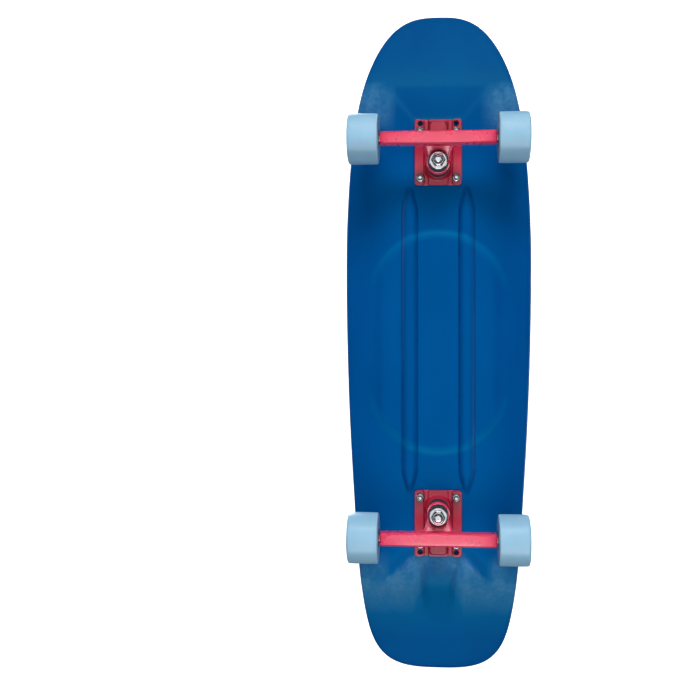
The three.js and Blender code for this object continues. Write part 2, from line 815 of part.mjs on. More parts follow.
function wheel(name, side) {
  const lips = Array.from({ length: lipSteps + 1 }, (_, step) => {
    const turn = (quarterTurn * step) / lipSteps;
    return [
      wheelRadius - wheelLipRadius + wheelLipRadius * Math.cos(turn),
      wheelLipRadius * (1 - Math.sin(turn)),
    ];
  });
  const innerSeatEnd = innerBearingStart + bearingWidth + fitGap - wheelStart;
  const outerSeatStart = outerBearingStart - fitGap - wheelStart;
  const seat = bearingRadius + fitGap;
  const inner = lips.toReversed();
  const outer = lips.map(([radius, height]) => [radius, wheelWidth - height]);
  const corners = [
    [seat, 0],
    ...inner,
    ...outer,
    [wheelDishRadius, wheelWidth],
    [wheelDishRadius - wheelDishDepth, wheelWidth - wheelDishDepth],
    [seat + wheelDishDepth, wheelWidth - wheelDishDepth],
    [seat, outerBearingStart + bearingWidth - wheelStart],
    [seat, outerSeatStart],
    [wheelCoreRadius, outerSeatStart],
    [wheelCoreRadius, innerSeatEnd],
    [seat, innerSeatEnd],
    [seat, 0],
  ];
  return namedMesh(`${name}_wheel`, onAxle(corners, wheelSides, wheelStart, side), 'wheel');
}

function bearing(name, start, side) {
  const corners = washerCorners(bearingRadius, axleBore, bearingWidth);
  return namedMesh(name, onAxle(corners, mediumSides, start, side), 'steel');
}

function speedWasher(name, start, side) {
  const corners = washerCorners(washerRadius, axleBore, washerThickness);
  return namedMesh(name, onAxle(corners, smallSides, start, side), 'zinc');
}

function axleNut(name, side) {
  const geometry = nutSolid(axleNutAcrossFlats, axleNutHeight, axleBore)
    .translate(0, 0, axleNutStart)
    .rotateY(side * quarterTurn)
    .translate(0, axleCentre.y, axleCentre.z);
  return namedMesh(name, geometry, 'zinc');
}

// The board's left side is +X when it rolls nose first
const sideName = (side, inboard) => (side * inboard > 0 ? 'left' : 'right');

// Everything threaded on one end of an axle
function wheelSet(place, side) {
  return [
    wheel(place, side),
    bearing(`${place}_inner_bearing`, innerBearingStart, side),
    bearing(`${place}_outer_bearing`, outerBearingStart, side),
    speedWasher(`${place}_inner_washer`, innerWasherStart, side),
    speedWasher(`${place}_outer_washer`, outerWasherStart, side),
    axleNut(`${place}_axle_nut`, side),
  ];
}

function truck({ name, y, inboard }) {
  const group = new THREE.Group();
  const baseBushing = `${name}_board_bushing`;
  const roadBushing = `${name}_road_bushing`;
  group.add(
    baseplate(name),
    pivotCup(name),
    hanger(name),
    axle(name),
    kingpin(name),
    bushing(baseBushing, boardBushingStart, boardBushingLength, boardBushingRadius),
    bushing(roadBushing, roadBushingStart, roadBushingLength, roadBushingRadius),
    cupWasher(name),
    kingpinNut(name),
    ...deckFasteners(name, inboard),
    ...[1, -1].flatMap((side) => wheelSet(`${name}_${sideName(side, inboard)}`, side)),
  );
  group.rotation.z = inboard > 0 ? 0 : Math.PI;
  group.position.set(0, y, deckUnderside);
  return group;
}

const skateboard = new THREE.Group();
skateboard.name = 'cruiser_skateboard';
skateboard.add(deck(), ...truckPlaces.map(truck));

export default skateboard;
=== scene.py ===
import math

import bmesh
import bpy
from mathutils import Matrix, Vector
from mathutils.kdtree import KDTree


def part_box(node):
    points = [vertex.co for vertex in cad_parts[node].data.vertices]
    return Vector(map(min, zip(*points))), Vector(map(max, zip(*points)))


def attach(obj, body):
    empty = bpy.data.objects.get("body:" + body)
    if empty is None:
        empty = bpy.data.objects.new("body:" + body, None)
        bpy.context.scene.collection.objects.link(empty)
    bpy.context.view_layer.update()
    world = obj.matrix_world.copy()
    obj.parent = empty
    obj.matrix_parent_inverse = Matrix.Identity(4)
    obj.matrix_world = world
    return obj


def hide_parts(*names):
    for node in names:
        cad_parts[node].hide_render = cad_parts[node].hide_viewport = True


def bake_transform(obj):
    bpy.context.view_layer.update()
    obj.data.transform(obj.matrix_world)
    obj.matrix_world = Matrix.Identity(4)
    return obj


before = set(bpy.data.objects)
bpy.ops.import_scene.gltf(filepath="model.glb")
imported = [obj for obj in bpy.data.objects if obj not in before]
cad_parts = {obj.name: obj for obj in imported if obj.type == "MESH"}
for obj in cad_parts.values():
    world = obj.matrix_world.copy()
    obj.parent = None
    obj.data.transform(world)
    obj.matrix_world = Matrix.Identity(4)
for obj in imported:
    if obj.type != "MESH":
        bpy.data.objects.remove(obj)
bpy.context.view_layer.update()        # the CAD nodes are in place
scene = bpy.context.scene
mm = 0.001
print("frame loaded:", len(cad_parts), "nodes")


# Camera: it looks up at the underside, nose at the top of the picture
cameraValues = {
    "lens": 46.4,
    "distance": 1.05,          # from the deck's underside
    "pictureSize": 700,
    "boardMiddle": (438.2, 342.4),   # pixel where the board's middle lands
    "scale": 1.164 * mm,       # metres per pixel at the underside
    "axisPlace": (0, -27 * mm),        # where the view meets the underside squarely
    "shift": (25, -30.8),      # pixels that the framing moves the board right and up
}


def addCamera(values, target):
    data = bpy.data.cameras.new("camera")
    data.lens = values["lens"]
    data.clip_end = 50
    camera = bpy.data.objects.new("camera", data)
    scene.collection.objects.link(camera)
    pictureMiddle = values["pictureSize"] / 2
    right, down = values["shift"]
    data.shift_x = -right / values["pictureSize"]
    data.shift_y = down / values["pictureSize"]
    across = (pictureMiddle + right - values["boardMiddle"][0]) * values["scale"]
    along = (pictureMiddle + down - values["boardMiddle"][1]) * values["scale"]
    place = target + Vector((*values["axisPlace"], -values["distance"]))
    forward = (target + Vector((across, along, 0)) - place).normalized()
    right = forward.cross(Vector((0, -1, 0))).normalized()
    turn = Matrix((right, right.cross(forward), -forward)).transposed().to_4x4()
    camera.matrix_world = Matrix.Translation(place) @ turn
    scene.camera = camera


# Places read from the frame, in metres
def middleOf(node):
    low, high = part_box(node)
    return (low + high) / 2


plateGap = 0.3 * mm
deckLow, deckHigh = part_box("deck")
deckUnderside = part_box("front_baseplate")[1].z + plateGap
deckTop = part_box("front_deck_bolt_inner_left")[1].z
trucks = {"front": 0.0, "rear": math.pi}      # turn about Z
boltLabels = [f"{row}_{side}" for row in ("inner", "outer") for side in ("left", "right")]


def patternMiddle(place):
    spots = [middleOf(f"{place}_lock_nut_{label}") for label in boltLabels]
    return sum(spots, Vector()) / len(spots)


def truckMatrix(place):
    spot = Matrix.Translation((0, patternMiddle(place).y / mm, deckUnderside / mm))
    return spot @ Matrix.Rotation(trucks[place], 4, "Z")


addCamera(cameraValues, Vector((0, 0, deckUnderside)))


# Stage: a pale floor seen from above, and a pale backdrop over the deck seen from below
stageValues = {
    "size": 9.0,
    "floorColour": (0.86, 0.87, 0.88),
    "backdropColour": (0.93, 0.935, 0.94),
    "backdropHeight": 0.165,
    "worldColour": (0.80, 0.84, 0.90),
    "worldStrength": 0.10,
    "backdropGlow": 0.9,
    "floorGlow": 0.85,
    "skyGlow": 0.9,
}


def oneSidedMaterial(name, colour, roughness, glow):
    material = bpy.data.materials.new(name)
    material.use_nodes = True
    nodes, links = material.node_tree.nodes, material.node_tree.links
    nodes.clear()
    output = nodes.new("ShaderNodeOutputMaterial")
    mix = nodes.new("ShaderNodeMixShader")
    side = nodes.new("ShaderNodeNewGeometry")
    clear = nodes.new("ShaderNodeBsdfTransparent")
    matte = nodes.new("ShaderNodeBsdfDiffuse")
    matte.inputs["Color"].default_value = (*colour, 1)
    matte.inputs["Roughness"].default_value = roughness
    shine = nodes.new("ShaderNodeEmission")
    shine.inputs["Color"].default_value = (*colour, 1)
    shine.inputs["Strength"].default_value = glow
    both = nodes.new("ShaderNodeAddShader")
    links.new(matte.outputs["BSDF"], both.inputs[0])
    links.new(shine.outputs["Emission"], both.inputs[1])
    links.new(side.outputs["Backfacing"], mix.inputs["Fac"])
    links.new(both.outputs["Shader"], mix.inputs[1])
    links.new(clear.outputs["BSDF"], mix.inputs[2])
    links.new(mix.outputs["Shader"], output.inputs["Surface"])
    return material


def addStagePlane(name, colour, height, turn, glow):
    bm = bmesh.new()
    bmesh.ops.create_grid(bm, x_segments=1, y_segments=1, size=stageValues["size"] / 2)
    bmesh.ops.transform(bm, matrix=Matrix.Rotation(turn, 4, "X"), verts=bm.verts)
    bmesh.ops.translate(bm, vec=(0, 0, height), verts=bm.verts)
    mesh = bpy.data.meshes.new(name)
    bm.to_mesh(mesh)
    bm.free()
    mesh.materials.append(oneSidedMaterial(name, colour, 0.6, glow))
    plane = bpy.data.objects.new(name, mesh)
    plane.visible_diffuse = False
    plane.visible_glossy = False
    plane.visible_shadow = False
    scene.collection.objects.link(plane)


def addWorld():
    world = bpy.data.worlds.new("studio")
    world.use_nodes = True
    tree = world.node_tree
    dim = tree.nodes["Background"]
    dim.inputs["Color"].default_value = (*stageValues["worldColour"], 1)
    dim.inputs["Strength"].default_value = stageValues["worldStrength"]
    pale = tree.nodes.new("ShaderNodeBackground")
    pale.inputs["Color"].default_value = (*stageValues["floorColour"], 1)
    pale.inputs["Strength"].default_value = stageValues["skyGlow"]
    ray = tree.nodes.new("ShaderNodeLightPath")
    mix = tree.nodes.new("ShaderNodeMixShader")
    tree.links.new(ray.outputs["Is Camera Ray"], mix.inputs["Fac"])
    tree.links.new(dim.outputs["Background"], mix.inputs[1])
    tree.links.new(pale.outputs["Background"], mix.inputs[2])
    tree.links.new(mix.outputs["Shader"], tree.nodes["World Output"].inputs["Surface"])
    scene.world = world


softboxes = {     # place, aim, size across and along, watts
    "noseBox": {"place": (0.1, -1.60, -1.15), "aim": (0, 0.15, 0.05), "size": (1.5, 0.6),
                "power": 5.0, "spread": 60, "glossy": False},
    "noseStrip": {"place": (0.1, -1.50, -1.20), "aim": (0, 0, 0.05), "size": (1.5, 0.40), "power": 4.4},
    "tailBox": {"place": (0.05, 1.28, -1.40), "aim": (0, 0.2, 0.05), "size": (1.5, 1.0), "power": 15},
    "underBox": {"place": (0, 0, -1.75), "aim": (0, 0, 0.05), "size": (2.0, 1.6), "power": 9.6},
    "skyBox": {"place": (-0.6, -0.8, 2.1), "aim": (0, 0, 0.05), "size": (1.6, 1.6), "power": 46},
    "sideBox": {"place": (1.9, 0.4, 0.9), "aim": (0, 0, 0.05), "size": (1.2, 1.2), "power": 16},
    "fillBox": {"place": (-2.0, -0.5, 0.7), "aim": (0, 0, 0.05), "size": (1.2, 1.0), "power": 9},
}


def addSoftbox(name, values):
    data = bpy.data.lights.new(name, "AREA")
    data.shape = "RECTANGLE"
    data.size, data.size_y = values["size"]
    data.energy = values["power"]
    data.spread = math.radians(values.get("spread", 180))
    lamp = bpy.data.objects.new(name, data)
    lamp.location = values["place"]
    aim = Vector(values["aim"]) - lamp.location
    lamp.rotation_euler = aim.to_track_quat("-Z", "Y").to_euler()
    lamp.visible_glossy = values.get("glossy", True)
    scene.collection.objects.link(lamp)


addStagePlane("floor", stageValues["floorColour"], 0, 0, stageValues["floorGlow"])
addStagePlane("backdrop", stageValues["backdropColour"], stageValues["backdropHeight"], math.pi,
              stageValues["backdropGlow"])
addWorld()
for boxName, boxValues in softboxes.items():
    addSoftbox(boxName, boxValues)
scene.view_settings.view_transform = "Standard"
scene.view_settings.look = "None"
print("camera, stage and lights are up")


# Material helpers
def startMaterial(name):
    material = bpy.data.materials.new(name)
    material.use_nodes = True
    tree = material.node_tree
    coords = tree.nodes.new("ShaderNodeTexCoord")
    return material, tree, tree.nodes["Principled BSDF"], coords.outputs["Object"]


def addNoise(tree, coords, scale, detail=3, stretch=(1, 1, 1)):
    mapping = tree.nodes.new("ShaderNodeMapping")
    mapping.inputs["Scale"].default_value = stretch
    noise = tree.nodes.new("ShaderNodeTexNoise")
    noise.inputs["Scale"].default_value = scale
    noise.inputs["Detail"].default_value = detail
    tree.links.new(coords, mapping.inputs["Vector"])
    tree.links.new(mapping.outputs["Vector"], noise.inputs["Vector"])
    return noise.outputs["Fac"]


def addRange(tree, value, low, high, fromLow=0.3, fromHigh=0.7):
    spread = tree.nodes.new("ShaderNodeMapRange")
    spread.inputs["From Min"].default_value = fromLow
    spread.inputs["From Max"].default_value = fromHigh
    spread.inputs["To Min"].default_value = low
    spread.inputs["To Max"].default_value = high
    tree.links.new(value, spread.inputs["Value"])
    return spread.outputs["Result"]


def addColours(tree, factor, first, second):
    mix = tree.nodes.new("ShaderNodeMix")
    mix.data_type = "RGBA"
    mix.inputs["A"].default_value = (*first, 1)
    mix.inputs["B"].default_value = (*second, 1)
    tree.links.new(factor, mix.inputs["Factor"])
    return mix.outputs["Result"]


def addBumps(tree, shader, layers):
    normal = None
    for height, strength, distance in layers:
        bump = tree.nodes.new("ShaderNodeBump")
        bump.inputs["Strength"].default_value = strength
        bump.inputs["Distance"].default_value = distance
        tree.links.new(height, bump.inputs["Height"])
        if normal is not None:
            tree.links.new(normal, bump.inputs["Normal"])
        normal = bump.outputs["Normal"]
    tree.links.new(normal, shader.inputs["Normal"])


# Moulded deck plastic: cloudy flow marks, a fine grain and an uneven satin gloss, with a pale painted
# sheen at the sides of the nose and across the tail's bend, and painted highlights across the tail and
# the panel's ends
deckPlasticValues = {
    "colour": (0.0, 0.059, 0.240),
    "cloudColour": (0.0, 0.071, 0.272),
    # painted sheen: a paler blue laid where the lamps' glare lies on the underside
    "paintedSheenColour": (0.062, 0.205, 0.400),
    "paintedSheen": 0.85,
    "cloudScale": 16,
    "speckScale": 220,
    "sheenNoiseScale": 70,
    "grainScale": 1500,
    "wander": 0.006,           # how far the marks push the edges of the painted sheen and highlights, in metres
    "wanderShares": (0.6, 0.4),
    "undersideNormal": (-0.7, -0.3),
    "sheenNoiseMottle": (0.55, 1, 0.4, 0.6),
    "speckMottle": (0.7, 1, 0.35, 0.6),
    "roughness": (0.30, 0.38),
    "speckRoughness": (-0.03, 0.05),
    "paintedSheenRoughness": 0.12,
    "cloudBump": (0.12, 0.4 * mm),
    "grainBump": (0.10, 0.04 * mm),
    "gloss": 0.32,
    "glossTint": (0.0, 0.62, 1.0),
    # where the painted sheen lies: the sides of the nose, the sides of the tail and across the tail's
    # bend
    "nosePaintedSheen": {"x": (0.048, 0.070), "y": (-0.306, -0.288, -0.262, -0.240)},
    "tailPaintedSheen": {"start": (0.026, 0.053, 0.246, 0.274), "end": (0.014, 0.030, 0.268, 0.304),
                  "rise": (-0.003, 0.005), "fall": (-0.016, 0.018)},
    "tailSidePaintedSheen": {"x": (0.056, 0.064), "y": (0.240, 0.258, 0.290, 0.312)},
    "tailSideShare": 0.6,
    # where the painted highlights lie: a band across the tail and the slope of the panel's round ends
    "tailPaintedHighlight": {"x": (-1, 0), "y": (0.262, 0.282, 0.305, 0.350)},
    "panelPaintedHighlight": {"arcMiddle": 0.047, "radius": 0.085, "rise": (-0.001, 0.004),
                  "fall": (0.004, 0.013), "ends": (0.010, 0.060)},
    "paintedHighlightColour": (0.0, 0.101, 0.295),
}


def addMath(tree, operation, first, second):
    step = tree.nodes.new("ShaderNodeMath")
    step.operation = operation
    for socket, value in zip(step.inputs, (first, second)):
        if isinstance(value, (int, float)):
            socket.default_value = value
        else:
            tree.links.new(value, socket)
    return step.outputs["Value"]


# One where x is past its range and y lies between its two ramps
def addPatch(tree, across, along, spans):
    sides = addRange(tree, across, 0, 1, *spans["x"])
    rise = addRange(tree, along, 0, 1, *spans["y"][:2])
    fall = addRange(tree, along, 1, 0, *spans["y"][2:])
    return addMath(tree, "MULTIPLY", sides, addMath(tree, "MULTIPLY", rise, fall))


# One between two lines across the tail that bend with the distance from the middle
def addTailPatch(tree, across, along, spans):
    near, far, first, last = spans["start"]
    begin = addRange(tree, across, first, last, near, far)
    near, far, first, last = spans["end"]
    finish = addRange(tree, across, first, last, near, far)
    rise = addRange(tree, addMath(tree, "SUBTRACT", along, begin), 0, 1, *spans["rise"])
    fall = addRange(tree, addMath(tree, "SUBTRACT", along, finish), 1, 0, *spans["fall"])
    return addMath(tree, "MULTIPLY", rise, fall)


# One along the slope of the panel's round ends
def addArcPatch(tree, across, along, spans):
    beyond = addMath(tree, "SUBTRACT", addMath(tree, "ABSOLUTE", along, 0), spans["arcMiddle"])
    squares = [addMath(tree, "MULTIPLY", value, value) for value in (across, beyond)]
    reach = addMath(tree, "SQRT", addMath(tree, "ADD", *squares), 0)
    inward = addMath(tree, "SUBTRACT", spans["radius"], reach)
    ring = addMath(tree, "MULTIPLY", addRange(tree, inward, 0, 1, *spans["rise"]),
                   addRange(tree, inward, 1, 0, *spans["fall"]))
    return addMath(tree, "MULTIPLY", ring, addRange(tree, beyond, 0, 1, *spans["ends"]))


def overColour(tree, factor, base, colour):
    mix = tree.nodes.new("ShaderNodeMix")
    mix.data_type = "RGBA"
    tree.links.new(factor, mix.inputs["Factor"])
    tree.links.new(base, mix.inputs["A"])
    mix.inputs["B"].default_value = (*colour, 1)
    return mix.outputs["Result"]


def makeDeckPlastic(values):
    material, tree, shader, coords = startMaterial("moulded deck plastic")
    cloud = addNoise(tree, coords, values["cloudScale"], 6, (1, 0.45, 1))
    speck = addNoise(tree, coords, values["speckScale"], 4)
    sheenNoise = addNoise(tree, coords, values["sheenNoiseScale"], 8, (1, 0.5, 1))
    grain = addNoise(tree, coords, values["grainScale"], 2)
    split = tree.nodes.new("ShaderNodeSeparateXYZ")
    tree.links.new(coords, split.inputs["Vector"])
    sheenNoiseShare, cloudShare = values["wanderShares"]
    drift = addMath(tree, "ADD", addMath(tree, "MULTIPLY", sheenNoise, sheenNoiseShare),
                    addMath(tree, "MULTIPLY", cloud, cloudShare))
    wander = addRange(tree, drift, -values["wander"], values["wander"])
    along = addMath(tree, "ADD", split.outputs["Y"], wander)
    across = addMath(tree, "ABSOLUTE", split.outputs["X"], 0)
    facing = tree.nodes.new("ShaderNodeSeparateXYZ")
    tree.links.new(coords.node.outputs["Normal"], facing.inputs["Vector"])
    below = addRange(tree, facing.outputs["Z"], 1, 0, *values["undersideNormal"])
    # painted sheen: paler, duller patches at the sides of the nose and tail and across the tail's bend,
    # broken up by noise, on the underside only
    sides = addMath(tree, "MAXIMUM", addPatch(tree, across, along, values["nosePaintedSheen"]),
                    addMath(tree, "MULTIPLY", values["tailSideShare"],
                            addPatch(tree, across, along, values["tailSidePaintedSheen"])))
    patches = addMath(tree, "MAXIMUM", sides,
                      addTailPatch(tree, across, along, values["tailPaintedSheen"]))
    mottle = addMath(tree, "MULTIPLY", addRange(tree, sheenNoise, *values["sheenNoiseMottle"]),
                     addRange(tree, speck, *values["speckMottle"]))
    paintedSheen = addMath(tree, "MULTIPLY", addMath(tree, "MULTIPLY", patches, mottle), below)
    plain = addColours(tree, addRange(tree, cloud, 0, 1), values["colour"], values["cloudColour"])
    # painted highlights: a paler band across the tail and along the slope of the panel's round ends, on
    # the underside only
    glow = addMath(tree, "MAXIMUM", addPatch(tree, across, along, values["tailPaintedHighlight"]),
                   addArcPatch(tree, across, split.outputs["Y"], values["panelPaintedHighlight"]))
    glow = addMath(tree, "MULTIPLY", glow, below)
    lit = overColour(tree, glow, plain, values["paintedHighlightColour"])
    colour = overColour(tree, addMath(tree, "MULTIPLY", paintedSheen, values["paintedSheen"]), lit,
                        values["paintedSheenColour"])
    tree.links.new(colour, shader.inputs["Base Color"])
    rough = addMath(tree, "ADD", addRange(tree, cloud, *values["roughness"]),
                    addRange(tree, speck, *values["speckRoughness"]))
    dull = addMath(tree, "MULTIPLY", paintedSheen, values["paintedSheenRoughness"])
    tree.links.new(addMath(tree, "ADD", rough, dull), shader.inputs["Roughness"])
    shader.inputs["Specular IOR Level"].default_value = values["gloss"]
    shader.inputs["Specular Tint"].default_value = (*values["glossTint"], 1)
    addBumps(tree, shader, [(cloud, *values["cloudBump"]), (grain, *values["grainBump"])])
    return material


# Powder coats: a faint orange peel under a thin gloss; the baseplates' coat is the coral darkened as
# painted shade, with less gloss
paintFinishes = {
    "coral coat": {"colour": (0.82, 0.036, 0.115), "deepColour": (0.76, 0.028, 0.095),
                   "peelScale": 900, "roughness": (0.24, 0.32), "level": 0.9, "coat": 0.9},
    # painted shade: the baseplates' copy of the coat is darker, standing for the shade they lie in
    # under hangers and wheels
    "crimson coat with painted shade": {"colour": (0.46, 0.010, 0.045), "deepColour": (0.38, 0.007, 0.034),
                     "peelScale": 900, "roughness": (0.30, 0.38), "level": 0.5, "coat": 0.35},
}
paintSkin = {"shadeScale": 60, "coatRoughness": 0.2, "peelBump": (0.12, 0.05 * mm)}


def makePaint(name, values):
    material, tree, shader, coords = startMaterial(name)
    peel = addNoise(tree, coords, values["peelScale"], 2)
    shade = addNoise(tree, coords, paintSkin["shadeScale"], 4)
    colour = addColours(tree, addRange(tree, shade, 0, 1), values["colour"], values["deepColour"])
    tree.links.new(colour, shader.inputs["Base Color"])
    tree.links.new(addRange(tree, shade, *values["roughness"]), shader.inputs["Roughness"])
    shader.inputs["Specular IOR Level"].default_value = values["level"]
    shader.inputs["Coat Weight"].default_value = values["coat"]
    shader.inputs["Coat Roughness"].default_value = paintSkin["coatRoughness"]
    addBumps(tree, shader, [(peel, *paintSkin["peelBump"])])
    return material


# Metals: bright chrome, and zinc with a bluish cast and turning marks
metalFinishes = {
    "chrome": {"colour": (0.78, 0.79, 0.81), "dullColour": (0.66, 0.67, 0.70),
               "roughness": (0.06, 0.16), "markDepth": 0.010},
    "zinc": {"colour": (0.74, 0.76, 0.80), "dullColour": (0.60, 0.63, 0.68),
             "roughness": (0.16, 0.28), "markDepth": 0.02},
    "bearing steel": {"colour": (0.62, 0.63, 0.65), "dullColour": (0.50, 0.51, 0.54),
                      "roughness": (0.14, 0.24), "markDepth": 0.015},
}
metalSkin = {"blotchScale": 260, "markScale": 900, "markStretch": (1, 1, 5), "markStrength": 0.2}


def makeMetal(name, values):
    material, tree, shader, coords = startMaterial(name)
    blotch = addNoise(tree, coords, metalSkin["blotchScale"], 4)
    marks = addNoise(tree, coords, metalSkin["markScale"], 3, metalSkin["markStretch"])
    colour = addColours(tree, addRange(tree, blotch, 0, 1), values["colour"], values["dullColour"])
    tree.links.new(colour, shader.inputs["Base Color"])
    tree.links.new(addRange(tree, blotch, *values["roughness"]), shader.inputs["Roughness"])
    shader.inputs["Metallic"].default_value = 1
    addBumps(tree, shader, [(marks, metalSkin["markStrength"], values["markDepth"] * mm)])
    return material


# Cast urethane and nylon: soft colour drift, a fine skin and a little light below the surface
softFinishes = {
    "wheel urethane": {"colour": (0.285, 0.515, 0.69), "driftColour": (0.26, 0.48, 0.655),
                       "roughness": (0.28, 0.38), "glow": 0.12, "skinScale": 1300},
    "bushing urethane": {"colour": (0.020, 0.020, 0.023), "driftColour": (0.032, 0.032, 0.036),
                         "roughness": (0.42, 0.55), "glow": 0.0, "skinScale": 1600},
    # near black: partly the nylon's own colour, partly painted shade for the recess in each nut's
    # collar
    "nylon ring": {"colour": (0.030, 0.032, 0.038), "driftColour": (0.045, 0.048, 0.055),
                   "roughness": (0.35, 0.45), "glow": 0.0, "skinScale": 1800},
    "bearing shield": {"colour": (0.016, 0.017, 0.020), "driftColour": (0.03, 0.03, 0.034),
                       "roughness": (0.34, 0.48), "glow": 0.0, "skinScale": 1500},
}
softSkin = {"driftScale": 34, "scatterRadius": (0.3, 0.6, 1.0), "scatterDepth": 2 * mm,
            "driftBump": (0.06, 0.3 * mm), "skinBump": (0.12, 0.03 * mm)}


def makeSoft(name, values):
    material, tree, shader, coords = startMaterial(name)
    drift = addNoise(tree, coords, softSkin["driftScale"], 4)
    skin = addNoise(tree, coords, values["skinScale"], 3)
    colour = addColours(tree, addRange(tree, drift, 0, 1), values["colour"], values["driftColour"])
    tree.links.new(colour, shader.inputs["Base Color"])
    tree.links.new(addRange(tree, skin, *values["roughness"]), shader.inputs["Roughness"])
    shader.inputs["Subsurface Weight"].default_value = values["glow"]
    shader.inputs["Subsurface Radius"].default_value = softSkin["scatterRadius"]
    shader.inputs["Subsurface Scale"].default_value = softSkin["scatterDepth"]
    addBumps(tree, shader, [(drift, *softSkin["driftBump"]), (skin, *softSkin["skinBump"])])
    return material


deckPlastic = makeDeckPlastic(deckPlasticValues)
paints = {name: makePaint(name, values) for name, values in paintFinishes.items()}
metals = {name: makeMetal(name, values) for name, values in metalFinishes.items()}
softs = {name: makeSoft(name, values) for name, values in softFinishes.items()}
print("materials made")


# Mesh helpers. Shapes are made in millimetres and scaled to metres when they are placed.
weldDistance = 0.002
toMetres = Matrix.Scale(mm, 4)


def spinShape(profile, steps, closed=True):
    bm = bmesh.new()
    verts = [bm.verts.new((radius, 0, height)) for radius, height in profile]
    ends = verts[1:] + verts[:1] if closed else verts[1:]
    edges = [bm.edges.new(pair) for pair in zip(verts, ends)]
    bmesh.ops.spin(bm, geom=verts + edges, cent=(0, 0, 0), axis=(0, 0, 1), dvec=(0, 0, 0),
                   angle=math.tau, steps=steps, use_merge=True)
    return weld(bm)


def weld(bm):
    bmesh.ops.remove_doubles(bm, verts=bm.verts, dist=weldDistance)
    bmesh.ops.recalc_face_normals(bm, faces=bm.faces)
    return bm


# A profile whose corners are [radius, height, rounding], each turned into a small arc
def roundProfile(corners, steps=3, closed=True):
    points = []
    for index, (radius, height, rounding) in enumerate(corners):
        corner = Vector((radius, height))
        loose = not closed and index in (0, len(corners) - 1)
        if rounding == 0 or loose:
            points.append(corner)
            continue
        before = Vector(corners[index - 1][:2])
        after = Vector(corners[(index + 1) % len(corners)][:2])
        start = corner + (before - corner).normalized() * rounding
        end = corner + (after - corner).normalized() * rounding
        for step in range(steps + 1):
            share = step / steps
            first = start.lerp(corner, share)
            points.append(first.lerp(corner.lerp(end, share), share))
    return [tuple(point) for point in points]


def rodShape(radius, start, end, steps=32):
    return spinShape([(0, start), (radius, start), (radius, end), (0, end)], steps, False)


def prismShape(outline, height):
    bm = bmesh.new()
    face = bm.faces.new([bm.verts.new((x, y, 0)) for x, y in outline])
    grown = bmesh.ops.extrude_face_region(bm, geom=[face])
    raised = [item for item in grown["geom"] if isinstance(item, bmesh.types.BMVert)]
    bmesh.ops.translate(bm, vec=(0, 0, height), verts=raised)
    return weld(bm)


def boxShape(size, middle):
    bm = bmesh.new()
    bmesh.ops.create_cube(bm, size=1)
    bmesh.ops.scale(bm, vec=size, verts=bm.verts)
    bmesh.ops.translate(bm, vec=middle, verts=bm.verts)
    return bm


def moved(bm, matrix):
    bmesh.ops.transform(bm, matrix=matrix, verts=bm.verts)
    return bm


def meshObject(name, bm):
    mesh = bpy.data.meshes.new(name)
    bm.to_mesh(mesh)
    bm.free()
    shape = bpy.data.objects.new(name, mesh)
    scene.collection.objects.link(shape)
    return shape


def finishedShape(shape, helpers):
    bpy.context.view_layer.update()
    graph = bpy.context.evaluated_depsgraph_get()
    mesh = bpy.data.meshes.new_from_object(shape.evaluated_get(graph))
    bm = bmesh.new()
    bm.from_mesh(mesh)
    bpy.data.meshes.remove(mesh)
    for helper in [shape, *helpers]:
        data = helper.data
        bpy.data.objects.remove(helper)
        bpy.data.meshes.remove(data)
    return bm


def combine(base, joined=(), cut=(), kept=()):
    shape = meshObject("base", base)
    helpers = []
    for operation, tools in (("UNION", joined), ("DIFFERENCE", cut), ("INTERSECT", kept)):
        for tool in tools:
            helper = meshObject("tool", tool)
            modifier = shape.modifiers.new("combine", "BOOLEAN")
            modifier.solver = "EXACT"
            modifier.operation = operation
            modifier.object = helper
            helpers.append(helper)
    return finishedShape(shape, helpers)


# Cast shapes: overlapping solids become one skin with soft fillets
def castSkin(solids, voxel, passes):
    whole = bmesh.new()
    for solid in solids:
        mesh = bpy.data.meshes.new("solid")
        solid.to_mesh(mesh)
        solid.free()
        whole.from_mesh(mesh)
        bpy.data.meshes.remove(mesh)
    shape = meshObject("casting", whole)
    remesh = shape.modifiers.new("skin", "REMESH")
    remesh.mode = "VOXEL"
    remesh.voxel_size = voxel
    smooth = shape.modifiers.new("soften", "SMOOTH")
    smooth.factor = 0.5
    smooth.iterations = passes
    return finishedShape(shape, [])


# A piece without a body is left unattached; its maker only bakes its place into the mesh
def addPiece(name, bm, material, body, nodes, sharpAngle=34):
    moved(bm, toMetres)
    bmesh.ops.remove_doubles(bm, verts=bm.verts, dist=weldDistance * mm)
    bmesh.ops.dissolve_degenerate(bm, edges=bm.edges, dist=weldDistance * mm)
    bmesh.ops.recalc_face_normals(bm, faces=bm.faces)
    piece = meshObject(name, bm)
    piece.data.shade_smooth()
    piece.data.set_sharp_from_angle(angle=math.radians(sharpAngle))
    piece.data.materials.append(material)
    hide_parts(*nodes)
    if body:
        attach(piece, body)
    return piece


